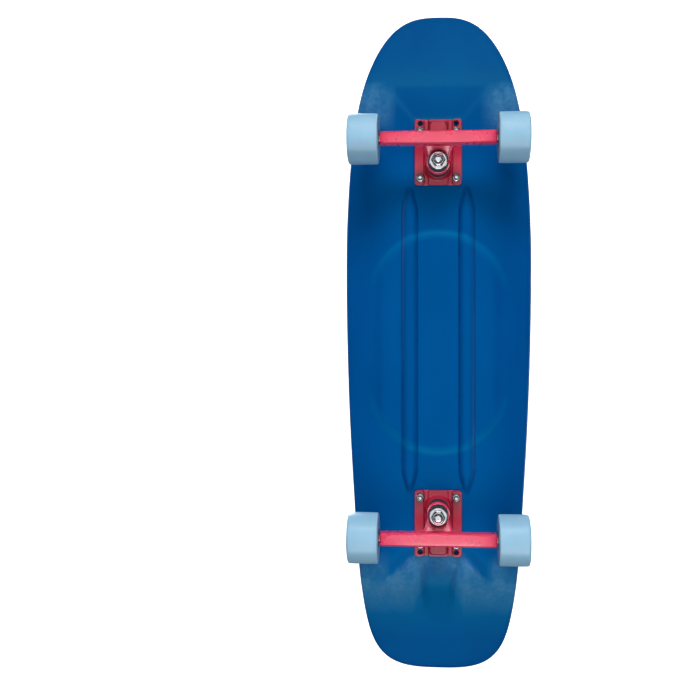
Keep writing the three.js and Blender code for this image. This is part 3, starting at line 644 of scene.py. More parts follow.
# Deck form, in millimetres: the outline is a superellipse at each end
deckValues = {
    "halfLength": (deckHigh.y - deckLow.y) / 2 / mm,
    "halfWidth": (deckHigh.x - deckLow.x) / 2 / mm,
    "widestPlace": -89.5,
    "nose": {"lengthPower": 2.12, "widthPower": 2.86, "taperShare": 0,
             "kickStart": 250, "kickRadius": 200, "kickAngle": math.radians(22)},
    "tail": {"lengthPower": 20, "widthPower": 3, "taperShare": 0.277,
             "kickStart": 240, "kickRadius": 180, "kickAngle": math.radians(15.6)},
    "concaveRise": 15.5,
    "concaveFlat": 30,
    "concaveFade": (150, 310),
    "fieldDrop": 0.6,
    "rimInset": 8.4,
    "rows": 264,
    "outlineSteps": 420,
    "holeRadius": 4.95,
    "railColumns": 60,         # columns up to here keep their places while the deck is wide
    "railColumnShare": 0.72,
    "bowShare": 0.3,           # share of the rows that bend to the round ends
    "bowPower": 1.6,
    "seamWeld": 0.02,
    "tailReliefStart": 200,
}

# Rim section from the tread field over the edge to the underside: inset, height from the top
rimSection = [
    (8.0, -0.95), (7.5, -0.95), (7.0, -0.25), (6.5, 0.05), (5.4, 0.15), (4.0, 0.1), (2.7, 0),
    (1.3, -0.35), (0.35, -1.3), (0, -2.6), (0, -3.9), (0.35, -5.2), (1.3, -6.15), (2.7, -6.5),
    (5.2, -6.5), (8.4, -6.5),
]

# Column places across half the deck, closer together where the rails rise
deckColumns = [
    0, 5, 10, 14.5, 18.5, 21, 22.4, 23.2, 24.2, 25.6, 27.2, 29, 31, 33, 35, 37, 38.8, 40.4,
    41.8, 42.8, 43.6, 45, 47.5, 51, 55, 59, 63, 66.5, 69.5, 72, 74.5, 78, 82, 86, 90, 94.5, 99.1,
]


def smoothStep(value, low, high):
    share = min(1, max(0, (value - low) / (high - low)))
    return share * share * (3 - 2 * share)


def kickRise(y):
    end = deckValues["nose" if y < 0 else "tail"]
    run = max(0, abs(y) - end["kickStart"])
    arcRun = end["kickRadius"] * math.sin(end["kickAngle"])
    bend = min(run, arcRun)
    arcRise = end["kickRadius"] - math.sqrt(end["kickRadius"] ** 2 - bend ** 2)
    return arcRise + max(0, run - arcRun) * math.tan(end["kickAngle"])


def concaveRise(x, y):
    fade = 1 - smoothStep(abs(y), *deckValues["concaveFade"])
    flat = deckValues["concaveFlat"]
    share = max(0, abs(x) - flat) / (deckValues["halfWidth"] - flat)
    return deckValues["concaveRise"] * fade * share ** 2


def deckRise(x, y):
    return kickRise(y) + concaveRise(x, y)


# Points of the right half of the outline from the nose's tip to the tail's: x, y and normal
def makeOutline():
    steps = deckValues["outlineSteps"]
    widest = deckValues["widestPlace"]
    points = []
    for end, tip, turns in (("nose", -1, range(steps, 0, -1)), ("tail", 1, range(steps + 1))):
        powers = deckValues[end]
        reach = tip * deckValues["halfLength"] - widest
        for turn in turns:
            share = math.sin(math.pi / 2 * turn / steps)
            taper = 1 - powers["taperShare"] * share ** 2
            narrowed = max(0, 1 - share ** powers["lengthPower"]) ** (1 / powers["widthPower"])
            points.append((deckValues["halfWidth"] * taper * narrowed, widest + reach * share))
    points[0] = (0, points[0][1])
    points[-1] = (0, points[-1][1])
    outline = []
    for index, (x, y) in enumerate(points):
        before = points[max(0, index - 1)]
        after = points[min(len(points) - 1, index + 1)]
        run = Vector((after[0] - before[0], after[1] - before[1])).normalized()
        normal = (run.y, -run.x) if 0 < index < len(points) - 1 else (0, math.copysign(1, y))
        outline.append((x, y, *normal))
    return outline


outline = makeOutline()
noseCorner = next(i for i, point in enumerate(outline) if point[2] > -point[3])
tailCorner = next(i for i, point in enumerate(outline) if i > noseCorner and point[2] < point[3])


def outlineAt(place, inset):
    index = min(int(place), len(outline) - 2)
    first, second = outline[index], outline[index + 1]
    share = place - index
    x, y, normalX, normalY = (a + (b - a) * share for a, b in zip(first, second))
    size = math.hypot(normalX, normalY)
    return x - normalX / size * inset, y - normalY / size * inset


# The place on the inset outline, between two of its points, where one coordinate has a value
def placeOf(value, axis, first, last, inset):
    low, high = float(first), float(last)
    rising = outlineAt(high, inset)[axis] > outlineAt(low, inset)[axis]
    for _ in range(32):
        middle = (low + high) / 2
        if (outlineAt(middle, inset)[axis] < value) == rising:
            low = middle
        else:
            high = middle
    return (low + high) / 2


# Underside relief, in millimetres proud of the plain underside
railValues = {"spacing": 66, "width": 19.5, "height": 6.2, "length": 361, "place": -2.6,
              "taper": 30, "taperPower": 0.8, "crownPower": 3.6}
panelValues = {"length": 264, "width": 148, "endRadius": 85, "height": 2.3, "slopeRun": 9,
               "place": -0.3}
facetValues = {"start": 257, "end": 299, "startHalf": 27, "endHalf": 60, "depth": 1.0,
               "step": 1.1, "wall": 5, "topWall": 3, "startEase": 3}
keelValues = {"start": 248, "end": 334, "startHalf": 24, "endHalf": 14, "height": 3.4,
              "slopeRun": 5, "peakShare": 0.35}
dentValues = {"corner": (29, 250), "end": (56, 279), "depth": 3.2, "width": 17, "wall": 1.5,
              "riseShares": (-0.4, 0.1), "fallShares": (0.55, 1), "fadeStart": 2}


def railRelief(x, y):
    half = railValues["length"] / 2
    left = half - abs(y - railValues["place"])
    if left <= 0:
        return 0
    full = math.sin(math.pi / 2 * min(1, left / railValues["taper"]))
    reach = railValues["width"] / 2 * min(1, (left / railValues["taper"]) ** railValues["taperPower"])
    share = abs(abs(x) - railValues["spacing"] / 2) / reach
    return railValues["height"] * full * max(0, 1 - share ** railValues["crownPower"])


def panelRelief(x, y):
    arcMiddle = panelValues["length"] / 2 - panelValues["endRadius"]
    beyond = max(0, abs(y - panelValues["place"]) - arcMiddle)
    inside = min(panelValues["width"] / 2 - abs(x), panelValues["endRadius"] - math.hypot(x, beyond))
    return panelValues["height"] * smoothStep(inside, 0, panelValues["slopeRun"])


def facetRelief(x, y):
    values = facetValues
    start, end = values["start"], values["end"]
    if not start < -y < end + values["topWall"]:
        return 0
    widen = (-y - start) / (end - start)
    half = values["startHalf"] + (values["endHalf"] - values["startHalf"]) * widen
    slope = (deckRise(0, -end) - values["step"]) / (end - start)
    flat = values["step"] + slope * (-y - start) - deckRise(x, y)
    flat *= smoothStep(-y, start, start + values["startEase"])
    side = smoothStep(half - abs(x), -values["wall"] / 2, values["wall"] / 2)
    return -side * max(0, flat) * values["depth"]


def keelRelief(x, y):
    share = (y - keelValues["start"]) / (keelValues["end"] - keelValues["start"])
    if not 0 < share < 1:
        return 0
    half = keelValues["startHalf"] + (keelValues["endHalf"] - keelValues["startHalf"]) * share
    peak = keelValues["peakShare"]
    swell = share / peak if share < peak else (1 - share) / (1 - peak)
    side = smoothStep(half - abs(x), 0, keelValues["slopeRun"])
    return keelValues["height"] * smoothStep(swell, 0, 1) * side


def dentRelief(x, y):
    corner, end = Vector(dentValues["corner"]), Vector(dentValues["end"])
    run = end - corner
    offset = Vector((abs(x), y)) - corner
    along = offset.dot(run) / run.length_squared
    outside = (offset.x * run.y - offset.y * run.x) / run.length
    rise, fall, half = dentValues["riseShares"], dentValues["fallShares"], dentValues["wall"]
    if not (rise[0] < along < fall[1]) or outside < -half:
        return 0
    ease = smoothStep(along, *rise) * (1 - smoothStep(along, *fall))
    wall = smoothStep(outside, -half, half)
    fade = 1 - smoothStep(outside, dentValues["fadeStart"], dentValues["width"])
    return -dentValues["depth"] * ease * wall * fade


def undersideRelief(x, y):
    if y < -facetValues["start"]:
        return facetRelief(x, y)
    if y > deckValues["tailReliefStart"]:
        return keelRelief(x, y) + dentRelief(x, y)
    return max(panelRelief(x, y), 0) + railRelief(x, y)


def columnAt(column, half):
    nominal = deckColumns[-1]
    fixed = deckValues["railColumns"]
    inner = min(fixed, half * deckValues["railColumnShare"])
    if abs(column) <= fixed:
        return column * inner / fixed
    beyond = (abs(column) - fixed) * (half - inner) / (nominal - fixed)
    return math.copysign(inner + beyond, column)


# One face of the deck: a grid whose sides follow the inset outline
def deckSheet(heightAt):
    inset = deckValues["rimInset"]
    rows = deckValues["rows"]
    bowShare, bowPower = deckValues["bowShare"], deckValues["bowPower"]
    columns = [-place for place in deckColumns[:0:-1]] + deckColumns
    last = len(outline) - 1
    noseHalf, noseStart = outlineAt(noseCorner, inset)
    tailHalf, tailStart = outlineAt(tailCorner, inset)
    sidePlaces = [
        placeOf(noseStart + (tailStart - noseStart) * row / rows, 1, noseCorner, tailCorner, inset)
        for row in range(1, rows)
    ]
    sidePlaces = [float(noseCorner), *sidePlaces, float(tailCorner)]
    nosePlaces = [placeOf(columnAt(abs(c), noseHalf), 0, 0, noseCorner, inset) for c in columns]
    tailPlaces = [placeOf(columnAt(abs(c), tailHalf), 0, tailCorner, last, inset) for c in columns]
    bm = bmesh.new()
    placeLayer = bm.verts.layers.float.new("outlinePlace")
    bmesh.ops.create_grid(bm, x_segments=len(columns) - 1, y_segments=rows, size=1)
    for vert in bm.verts:
        column = round((vert.co.x + 1) / 2 * (len(columns) - 1))
        row = round((vert.co.y + 1) / 2 * rows)
        edgePlace = sidePlaces[row]
        half, y = outlineAt(edgePlace, inset)
        x = columnAt(columns[column], half)
        share = row / rows
        noseBow = outlineAt(nosePlaces[column], inset)[1] - noseStart
        tailBow = outlineAt(tailPlaces[column], inset)[1] - tailStart
        y += noseBow * max(0, 1 - share / bowShare) ** bowPower
        y += tailBow * max(0, 1 - (1 - share) / bowShare) ** bowPower
        if column in (0, len(columns) - 1):
            vert[placeLayer] = edgePlace
        elif row == 0:
            vert[placeLayer] = nosePlaces[column]
        elif row == rows:
            vert[placeLayer] = tailPlaces[column]
        vert.co = (x, y, heightAt(x, y))
    return bm, placeLayer


def makeDeckShell():
    top = deckTop / mm
    bm, placeLayer = deckSheet(lambda x, y: top + deckRise(x, y) - deckValues["fieldDrop"])
    rim = [edge for edge in bm.edges if edge.is_boundary]
    for inset, height in rimSection:
        grown = bmesh.ops.extrude_edge_only(bm, edges=rim)
        rim = [item for item in grown["geom"]
               if isinstance(item, bmesh.types.BMEdge) and item.is_boundary]
        for vert in {vert for edge in rim for vert in edge.verts}:
            x, y = outlineAt(vert[placeLayer], inset)
            vert.co = (math.copysign(x, vert.co.x), y, top + deckRise(x, y) + height)
    base = deckUnderside / mm
    under, _ = deckSheet(lambda x, y: base + deckRise(x, y) - undersideRelief(x, y))
    mesh = bpy.data.meshes.new("underside")
    under.to_mesh(mesh)
    under.free()
    bm.from_mesh(mesh)
    bpy.data.meshes.remove(mesh)
    bmesh.ops.remove_doubles(bm, verts=bm.verts, dist=deckValues["seamWeld"])
    bmesh.ops.recalc_face_normals(bm, faces=bm.faces)
    return bm


def boltSpots():
    spots = []
    for place in trucks:
        for label in boltLabels:
            middle = middleOf(f"{place}_deck_bolt_{label}") / mm
            spots.append((f"{place}_deck_bolt_{label}", middle.x, middle.y))
    return spots


# Countersunk holes: a short mouth, a cone and a shank hole, measured down from the deck's top
holeValues = {"overrun": 2, "mouth": 0.25, "mouthDepth": 0.05, "coneStep": 0.1, "coneStart": 0.45,
              "coneEnd": 2.9, "shank": 2.7, "depth": 9}


def boltHoleShape(x, y):
    top = deckTop / mm
    radius, shank = deckValues["holeRadius"], holeValues["shank"]
    mouth, high = radius + holeValues["mouth"], top + holeValues["overrun"]
    profile = [(0, high), (mouth, high), (mouth, top - holeValues["mouthDepth"]),
               (radius - holeValues["coneStep"], top - holeValues["coneStart"]),
               (shank, top - holeValues["coneEnd"]), (shank, top - holeValues["depth"]),
               (0, top - holeValues["depth"])]
    return moved(spinShape(profile, 32, closed=False), Matrix.Translation((x, y, 0)))


# Smooth bosses round the screws, a little proud of the tread field
bossValues = {"radius": 8.0, "crestRadius": 7.6, "inset": 0.6, "root": 2, "rise": 0.1, "edge": 0.25}


def bossShape(x, y):
    top = deckTop / mm
    inner = deckValues["holeRadius"] - bossValues["inset"]
    low, high = top - bossValues["root"], top + bossValues["rise"]
    corners = [(inner, low, 0), (bossValues["radius"], low, 0),
               (bossValues["crestRadius"], high, bossValues["edge"]), (inner, high, 0)]
    return moved(spinShape(roundProfile(corners), 40), Matrix.Translation((x, y, 0)))


def addDeck():
    shell = makeDeckShell()
    print("deck shell:", len(shell.faces), "faces")
    spots = boltSpots()
    bosses = [bossShape(x, y) for _, x, y in spots]
    holes = [boltHoleShape(x, y) for _, x, y in spots]
    shell = combine(shell, bosses, holes)
    addPiece("deck_shell", shell, deckPlastic, "board", ["deck"], 40)
    print("deck shell cut for its screws")


# Diamond tread: thin raised ridges in two slanting families
treadValues = {"across": 20.6, "along": 12.05, "crestHalf": 0.42, "slopeRun": 0.65,
               "cuts": 3, "sink": 0.35, "edgeGap": 8.6, "hidden": 6.0, "edgeDrop": 1.3,
               "screwClear": 6.2, "discOverlap": 1.2, "reachX": 120, "reachY": 400,
               "cellArea": 50, "floorArea": 40, "longEdge": 6}


def addTread():
    values = treadValues
    bm = bmesh.new()
    count = 2 * math.ceil(deckValues["halfLength"] / values["along"]
                          + deckValues["halfWidth"] / values["across"]) + 2
    bmesh.ops.create_grid(bm, x_segments=count, y_segments=count, size=count / 2)
    lattice = Matrix(((values["across"] / 2, -values["across"] / 2, 0, 0),
                      (values["along"] / 2, values["along"] / 2, 0, 0),
                      (0, 0, 1, 0), (0, 0, 0, 1)))
    moved(bm, lattice)
    tree = KDTree(2 * len(outline))
    for index, (x, y, *_) in enumerate(outline):
        tree.insert((x, y, 0), index)
        tree.insert((-x, y, 0), index)
    tree.balance()

    def edgeDistance(point):
        x, y, normalX, normalY = outline[tree.find((point.x, point.y, 0))[1]]
        return (x - abs(point.x)) * normalX + (y - point.y) * normalY

    spots = [(Vector((x, y)), values["screwClear"]) for _, x, y in boltSpots()]
    discClear = discValues["radius"] - values["discOverlap"]
    spots.append((Vector((0, discValues["place"])), discClear))

    def hidden(point):
        flat = point.xy
        return any((flat - spot).length < radius for spot, radius in spots)

    far = [face for face in bm.faces
           if abs(face.calc_center_median().x) > values["reachX"]
           or abs(face.calc_center_median().y) > values["reachY"]]
    bmesh.ops.delete(bm, geom=far, context="FACES")
    bmesh.ops.inset_individual(bm, faces=bm.faces, thickness=values["crestHalf"])
    crests = set(bm.verts)
    floors = [face for face in bm.faces if face.calc_area() > values["cellArea"]]
    bmesh.ops.inset_individual(bm, faces=floors, thickness=values["slopeRun"])
    floors = [face for face in bm.faces if face.calc_area() > values["floorArea"]]
    bmesh.ops.delete(bm, geom=floors, context="FACES_ONLY")
    footLayer = bm.verts.layers.int.new("foot")
    for vert in bm.verts:
        vert[footLayer] = 0 if vert in crests else 1
    longEdges = [edge for edge in bm.edges if edge.calc_length() > values["longEdge"]]
    bmesh.ops.subdivide_edges(bm, edges=longEdges, cuts=values["cuts"])
    top = deckTop / mm
    distances = {}
    for vert in bm.verts:
        distances[vert] = edgeDistance(vert.co)
    gone = [face for face in bm.faces
            if all(distances[v] < values["hidden"] for v in face.verts)
            or any(hidden(v.co) for v in face.verts)]
    bmesh.ops.delete(bm, geom=gone, context="FACES")
    for vert in bm.verts:
        x, y = vert.co.xy
        height = -deckValues["fieldDrop"] - values["sink"] if vert[footLayer] else 0
        if distances[vert] < values["edgeGap"]:
            height = min(height, -values["edgeDrop"])
        vert.co.z = top + deckRise(x, y) + height
    addPiece("deck_tread", bm, deckPlastic, "board", ["deck"], 50)


# Plain disc on the tread with a fine bead round it
discValues = {"radius": 36, "height": 0.8, "bead": 1.05, "place": 60, "root": 1.5,
              "beadWidth": 1.6, "groove": (2.0, 2.6, 3.1), "grooveDepth": 0.35,
              "outerEdge": 0.4, "innerEdge": 0.35, "grooveEdge": 0.2}


def addDisc():
    radius, height, bead = discValues["radius"], discValues["height"], discValues["bead"]
    top = deckTop / mm
    low, floor = top - discValues["root"], top + height - discValues["grooveDepth"]
    start, end, field = discValues["groove"]
    grooveEdge = discValues["grooveEdge"]
    corners = [
        (0, low, 0), (radius, low, 0), (radius, top + bead, discValues["outerEdge"]),
        (radius - discValues["beadWidth"], top + bead, discValues["innerEdge"]),
        (radius - start, floor, grooveEdge), (radius - end, floor, grooveEdge),
        (radius - field, top + height, grooveEdge), (0, top + height, 0),
    ]
    disc = spinShape(roundProfile(corners, closed=False), 128, closed=False)
    moved(disc, Matrix.Translation((0, discValues["place"], 0)))
    addPiece("deck_disc", disc, deckPlastic, "board", ["deck"], 30)


addDeck()
addTread()
addDisc()
print("deck, tread and disc made")


# Truck shapes lie in a frame of their own, in millimetres: +Y toward the board's middle,
# height zero at the deck's underside
truckValues = {
    "kingpinPlace": 14.2,
    "kingpinLean": math.radians(1),
    "pivot": (0, -27, -12),
    "steering": (0, 0.909431, -0.415856),
    "axle": (0, -11, -48),
    "seatEnd": 12,
    "boardBushing": (12.3, 26.3, 13),
    "ring": (26.6, 34.6, 13),
    "roadBushing": (34.9, 45.3, 11.4),
    "cupWasher": (45.6, 47.6, 10),
    "kingpinNut": (47.9, 55.4, 14.3),
    "nutCollar": 2.2,
    "kingpinEnd": 57.8,
    "kingpinRadius": 4.76,
    "kingpinGap": 0.35,
}


def axisMatrix(start, direction):
    return Matrix.Translation(start) @ Vector(direction).to_track_quat("Z", "Y").to_matrix().to_4x4()


def kingpinMatrix():
    lean = truckValues["kingpinLean"]
    return axisMatrix((0, truckValues["kingpinPlace"], 0), (0, -math.sin(lean), -math.cos(lean)))


def steeringMatrix():
    return axisMatrix(truckValues["pivot"], truckValues["steering"])


# Along the axle from its middle: the local Z points to one side
def axleMatrix(side):
    return axisMatrix(truckValues["axle"], (side, 0, 0))


def roundRectangle(halfX, halfY, radius, steps=5, middle=(0, 0)):
    points = []
    for turn, (signX, signY) in enumerate(((1, 1), (-1, 1), (-1, -1), (1, -1))):
        for step in range(steps + 1):
            angle = math.pi / 2 * (turn + step / steps)
            x = signX * (halfX - radius) + radius * math.cos(angle)
            y = signY * (halfY - radius) + radius * math.sin(angle)
            points.append((middle[0] + x, middle[1] + y))
    return points


# A skin through closed sections that all have the same number of points
def loftShape(sections):
    bm = bmesh.new()
    rings = [[bm.verts.new(point) for point in section] for section in sections]
    for first, second in zip(rings, rings[1:]):
        edges = []
        for ring in (first, second):
            for pair in zip(ring, ring[1:] + ring[:1]):
                edges.append(bm.edges.get(pair) or bm.edges.new(pair))
        bmesh.ops.bridge_loops(bm, edges=edges)
    bm.faces.new(rings[0])
    bm.faces.new(rings[-1])
    return weld(bm)


def flatSection(points, height):
    return [(x, y, height) for x, y in points]


# Baseplate: a cast plate with raised screw strips, a kingpin seat and a pivot pocket
plateValues = {
    "halfWidth": 27.25, "inboard": 34.49, "outboard": -41.71, "corner": 4.2,
    "top": -0.3, "bottom": -6.3, "recess": 3.4, "stripWidth": 10.8,
    "spineHalf": 11.2, "spineDrop": 0.9, "ribMiddle": 8.3, "ribHalf": 2.2, "ribRise": 1.1,
    "seatRadius": 13.5, "seatRoot": 3, "seatFlare": 2.5, "stripCorner": 3.6, "spineCorner": 2.5,
    "ribHalfLength": 22, "ribFoot": 3, "ribFlare": 0.7, "ribCorner": 1.6, "ribPlace": -2,
    "boreStart": -9, "boreEnd": 20, "boreGap": 0.3, "headBore": 7.5, "headEnd": 4.6,
    "pivotBore": (8.2, -6.2, 11.5), "pivotMouth": (9.4, 16), "trimBox": (80, 100, 10),
    "holeStart": -12, "holeEnd": 2, "holeMouth": 0.7, "mouthRise": 0.2, "mouthDepth": 0.5,
    "pocketHalf": 10.9, "pocketDepth": 22.3,
    "screwX": 20.64, "screwY": 26.99, "spareY": -36.51, "screwHole": 2.75, "spareHole": 2.95,
    "voxel": 0.6, "passes": 3,
}


def plateSolids(values):
    middle = (values["inboard"] + values["outboard"]) / 2
    halfLength = (values["inboard"] - values["outboard"]) / 2
    floor = values["bottom"] + values["recess"]
    outlinePoints = roundRectangle(values["halfWidth"], halfLength, values["corner"])
    plate = prismShape(outlinePoints, values["top"] - floor)
    solids = [moved(plate, Matrix.Translation((0, middle, floor)))]
    stripHalf = values["stripWidth"] / 2
    for side in (1, -1):
        points = roundRectangle(stripHalf, halfLength, values["stripCorner"])
        strip = prismShape(points, values["top"] - values["bottom"])
        place = (side * (values["halfWidth"] - stripHalf), middle, values["bottom"])
        solids.append(moved(strip, Matrix.Translation(place)))
        ribLow = values["bottom"] - values["ribRise"]
        ribLength, ribCorner = values["ribHalfLength"], values["ribCorner"]
        crest = roundRectangle(values["ribHalf"], ribLength, ribCorner)
        foot = roundRectangle(values["ribHalf"] + values["ribFlare"],
                              ribLength + values["ribFoot"], ribCorner)
        sections = [flatSection(crest, ribLow), flatSection(foot, floor + 1)]
        place = (side * values["ribMiddle"], values["ribPlace"], 0)
        solids.append(moved(loftShape(sections), Matrix.Translation(place)))
    spine = prismShape(roundRectangle(values["spineHalf"], halfLength, values["spineCorner"]),
                       values["top"] - values["bottom"] - values["spineDrop"])
    solids.append(moved(spine, Matrix.Translation((0, middle, values["bottom"]
                                                   + values["spineDrop"]))))
    pocketHalf, pocketDepth = values["pocketHalf"], values["pocketDepth"]
    sections = [
        flatSection(roundRectangle(half, (end - start) / 2, 4, middle=(0, (start + end) / 2)), height)
        for half, start, end, height in (
            (pocketHalf - 1.9, -34.6, -19.6, -pocketDepth),
            (pocketHalf - 1.3, -36.6, -19.2, -pocketDepth + 6),
            (pocketHalf, -40.6, -18.4, floor + 1),
        )
    ]
    solids.append(loftShape(sections))
    radius, root, flare = values["seatRadius"], values["seatRoot"], values["seatFlare"]
    end = truckValues["seatEnd"]
    seat = spinShape([(0, root), (radius + flare, root), (radius, end - flare), (radius, end),
                      (0, end)], 48, False)
    solids.append(moved(seat, kingpinMatrix()))
    return solids


def plateCuts(values):
    start = values["boreStart"]
    bore = truckValues["kingpinRadius"] + values["boreGap"]
    cuts = [moved(rodShape(bore, start, values["boreEnd"]), kingpinMatrix()),
            moved(rodShape(values["headBore"], start, values["headEnd"]), kingpinMatrix())]
    mouthRadius, mouthEnd = values["pivotMouth"]
    radius, low, high = values["pivotBore"]
    pivotHole = [(0, low), (radius, low), (radius, high), (mouthRadius, mouthEnd), (0, mouthEnd)]
    cuts.append(moved(spinShape(pivotHole, 48, False), steeringMatrix()))
    spots = [(x, y, values["screwHole"]) for x in (1, -1) for y in (values["screwY"],
                                                                    -values["screwY"])]
    spots += [(x, values["spareY"], values["spareHole"]) for x in (1, -1)]
    for side, y, radius in spots:
        mouth, low, high = radius + values["holeMouth"], values["holeStart"], values["holeEnd"]
        corners = [(0, low), (mouth, low), (mouth, values["bottom"] - values["mouthRise"]),
                   (radius, values["bottom"] + values["mouthDepth"]), (radius, high), (0, high)]
        hole = spinShape(corners, 32, False)
        cuts.append(moved(hole, Matrix.Translation((side * values["screwX"], y, 0))))
    above = boxShape(values["trimBox"], (0, 0, values["top"] + values["trimBox"][2] / 2))
    return [*cuts, above]


# Hanger: a cast bar with an arm, a ring round the kingpin, and a neck down to the pivot
hangerValues = {
    "halfLength": 64.5, "barHalfY": 7.5, "barHalfZ": 7.5, "barShift": 0.2, "barChamfer": 2,
    "barEdge": 0.5, "barCore": 0.5, "endTaper": 1.2, "endEdge": 0.5, "endRun": 1.4, "endShare": 0.35,
    "ringFlare": 1.4, "ringEase": 2, "ringBore": 6.6, "ringMouth": 7.2, "mouthDepth": 0.8,
    "spoolReach": 16, "armLift": 3.5, "armTilt": (0.5, 0.87), "armCorner": 2.4, "gussetCorner": 3,
    "noseRadius": 5.3, "noseSteps": 8, "noseGap": 0.4, "noseRoot": 9, "noseStep": 0.2,
    "axleBore": 4.2, "axleBoreReach": 70, "voxel": 0.6, "passes": 3,
}

# Share of the way from the axle to the ring, width and thickness of the arm
armSections = ((-0.15, 40, 12), (0.2, 34, 11), (0.5, 28, 9), (0.85, 23, 8.4), (1.05, 19, 8.2))

# Height over the axle, half width, and the two ends along the board, of the gusset
gussetSections = ((0, 36, -6, 6), (7, 30, -6, 6), (12, 18, -7, 8), (19, 11, -7, 9), (28, 6.5, -9, 7))

# Radius and height along the steering line, of the neck
neckProfile = ((0, 5), (6.2, 5), (7, 8), (7.4, 14), (9.5, 22), (12, 34), (12, 40), (0, 40))


# The bar is a chamfered square; its cross-section shrinks towards the ends
def barSection(x, shrink, values):
    halfY, halfZ = values["barHalfY"] - shrink, values["barHalfZ"] - shrink
    cut, edge = values["barChamfer"], values["barEdge"]
    corners = [(halfY, halfZ - cut, edge), (halfY - cut, halfZ, edge), (cut - halfY, halfZ, edge),
               (-halfY, halfZ - cut, edge), (-halfY, cut - halfZ, edge), (cut - halfY, -halfZ, edge),
               (halfY - cut, -halfZ, edge), (halfY, cut - halfZ, edge)]
    _, y, z = truckValues["axle"]
    return [(x, y - values["barShift"] + across, z + up) for across, up in roundProfile(corners)]


def barShape(values, shrink):
    half, taper = values["halfLength"] - shrink * 2, values["endTaper"] + shrink
    edge, run, share = values["endEdge"], values["endRun"], values["endShare"]
    between = taper * share + shrink * (1 - share)
    stations = ((-half, taper), (-half + edge, between), (-half + run, shrink),
                (half - run, shrink), (half - edge, between), (half, taper))
    return loftShape([barSection(x, narrowing, values) for x, narrowing in stations])


def hangerSolids(values):
    solids = [barShape(values, values["barCore"])]
    ringStart, ringEnd, ringRadius = truckValues["ring"]
    flare = values["ringFlare"]
    ease = values["ringEase"]
    ring = spinShape([(0, ringStart), (ringRadius - flare, ringStart), (ringRadius, ringStart + ease),
                      (ringRadius, ringEnd - ease), (ringRadius - flare, ringEnd), (0, ringEnd)],
                     56, False)
    solids.append(moved(ring, kingpinMatrix()))
    lean = truckValues["kingpinLean"]
    reach = (ringStart + ringEnd) / 2
    ringY = truckValues["kingpinPlace"] - reach * math.sin(lean)
    ringZ = -reach * math.cos(lean)
    _, axleY, axleZ = truckValues["axle"]
    lift, (tiltY, tiltZ) = values["armLift"], values["armTilt"]
    sections = []
    for share, width, thickness in armSections:
        y = axleY + (ringY - axleY) * share
        z = axleZ + lift + (ringZ - axleZ - lift) * share
        points = roundRectangle(width / 2, thickness / 2, values["armCorner"], 3)
        sections.append([(x, y + up * tiltY, z + up * tiltZ) for x, up in points])
    solids.append(loftShape(sections))
    solids.append(moved(spinShape(neckProfile, 40, False), steeringMatrix()))
    barY = axleY - values["barShift"]
    sections = []
    for height, halfX, low, high in gussetSections:
        middle = (0, barY + (high + low) / 2)
        points = roundRectangle(halfX, (high - low) / 2, values["gussetCorner"], 4, middle)
        sections.append(flatSection(points, axleZ + height))
    solids.append(loftShape(sections))
    return solids


def axleHole(values):
    reach = values["axleBoreReach"]
    return moved(rodShape(values["axleBore"], -reach, reach), axleMatrix(1))


def hangerCuts(values):
    ringStart, ringEnd, ringRadius = truckValues["ring"]
    bore, mouth, depth = values["ringBore"], values["ringMouth"], values["mouthDepth"]
    low, high = ringStart - values["spoolReach"], ringEnd + values["spoolReach"]
    spool = [(0, low), (ringRadius + 1.8, low), (ringRadius + 0.4, ringStart), (mouth, ringStart),
             (bore, ringStart + depth), (bore, ringEnd - depth), (mouth, ringEnd),
             (ringRadius - 0.2, ringEnd), (ringRadius + 0.8, high), (0, high)]
    return [moved(spinShape(spool, 60, False), kingpinMatrix()), axleHole(values)]


# The hanger's nose turns in the pivot cup
truckPivotValues = {"radius": 8, "halfLength": 6, "floor": 2, "bore": 5.8, "boreDepth": 5,
                    "mouth": 0.2, "boreTaper": 1}


def noseShape(values):
    radius, steps, root = values["noseRadius"], values["noseSteps"], values["noseRoot"]
    tip = -truckPivotValues["halfLength"] + truckPivotValues["floor"] + values["noseGap"]
    angles = [math.pi / 2 * step / steps for step in range(steps + 1)]
    points = [(radius * math.sin(angle), tip + radius - radius * math.cos(angle)) for angle in angles]
    profile = [*points, (radius + values["noseStep"], root), (0, root)]
    return moved(spinShape(profile, 40, False), steeringMatrix())


def makePivotCup(values):
    half = values["halfLength"]
    radius, bore, floor = values["radius"], values["bore"], -half + values["floor"]
    corners = [(0, -half, 0), (radius, -half, 1.2), (radius, half, 0.5),
               (bore + values["mouth"], half, 0.4), (bore, half - values["boreDepth"], 0.6),
               (bore - values["boreTaper"], floor, 1.2), (0, floor, 0)]
    return moved(spinShape(roundProfile(corners, 4, False), 48, False), steeringMatrix())


# Threads are rings of 60 degree ridges between two heights
def threadPoints(radius, start, end, pitch):
    depth = pitch * 0.5
    count = max(1, round((end - start) / pitch))
    step = (end - start) / count
    points = []
    for index in range(count):
        points += [(radius - depth, start + step * index),
                   (radius, start + step * (index + 0.42)), (radius, start + step * (index + 0.58))]
    return [*points, (radius - depth, end)]


def makeKingpin():
    radius, end = truckValues["kingpinRadius"], truckValues["kingpinEnd"]
    head = [(0, 1.6), (6.6, 1.6), (7.1, 2.1), (7.1, 3.9), (6.9, 4.2), (radius + 0.5, 4.2),
            (radius, 4.8), (radius, 40)]
    dome = [(radius - 0.9, end - 0.5), (radius - 1.5, end), (radius - 1.9, end + 0.08),
            (0, end + 0.1)]
    profile = [*head, *threadPoints(radius, 40.5, end - 1, 1.3), *dome]
    return moved(spinShape(profile, 40, False), kingpinMatrix())


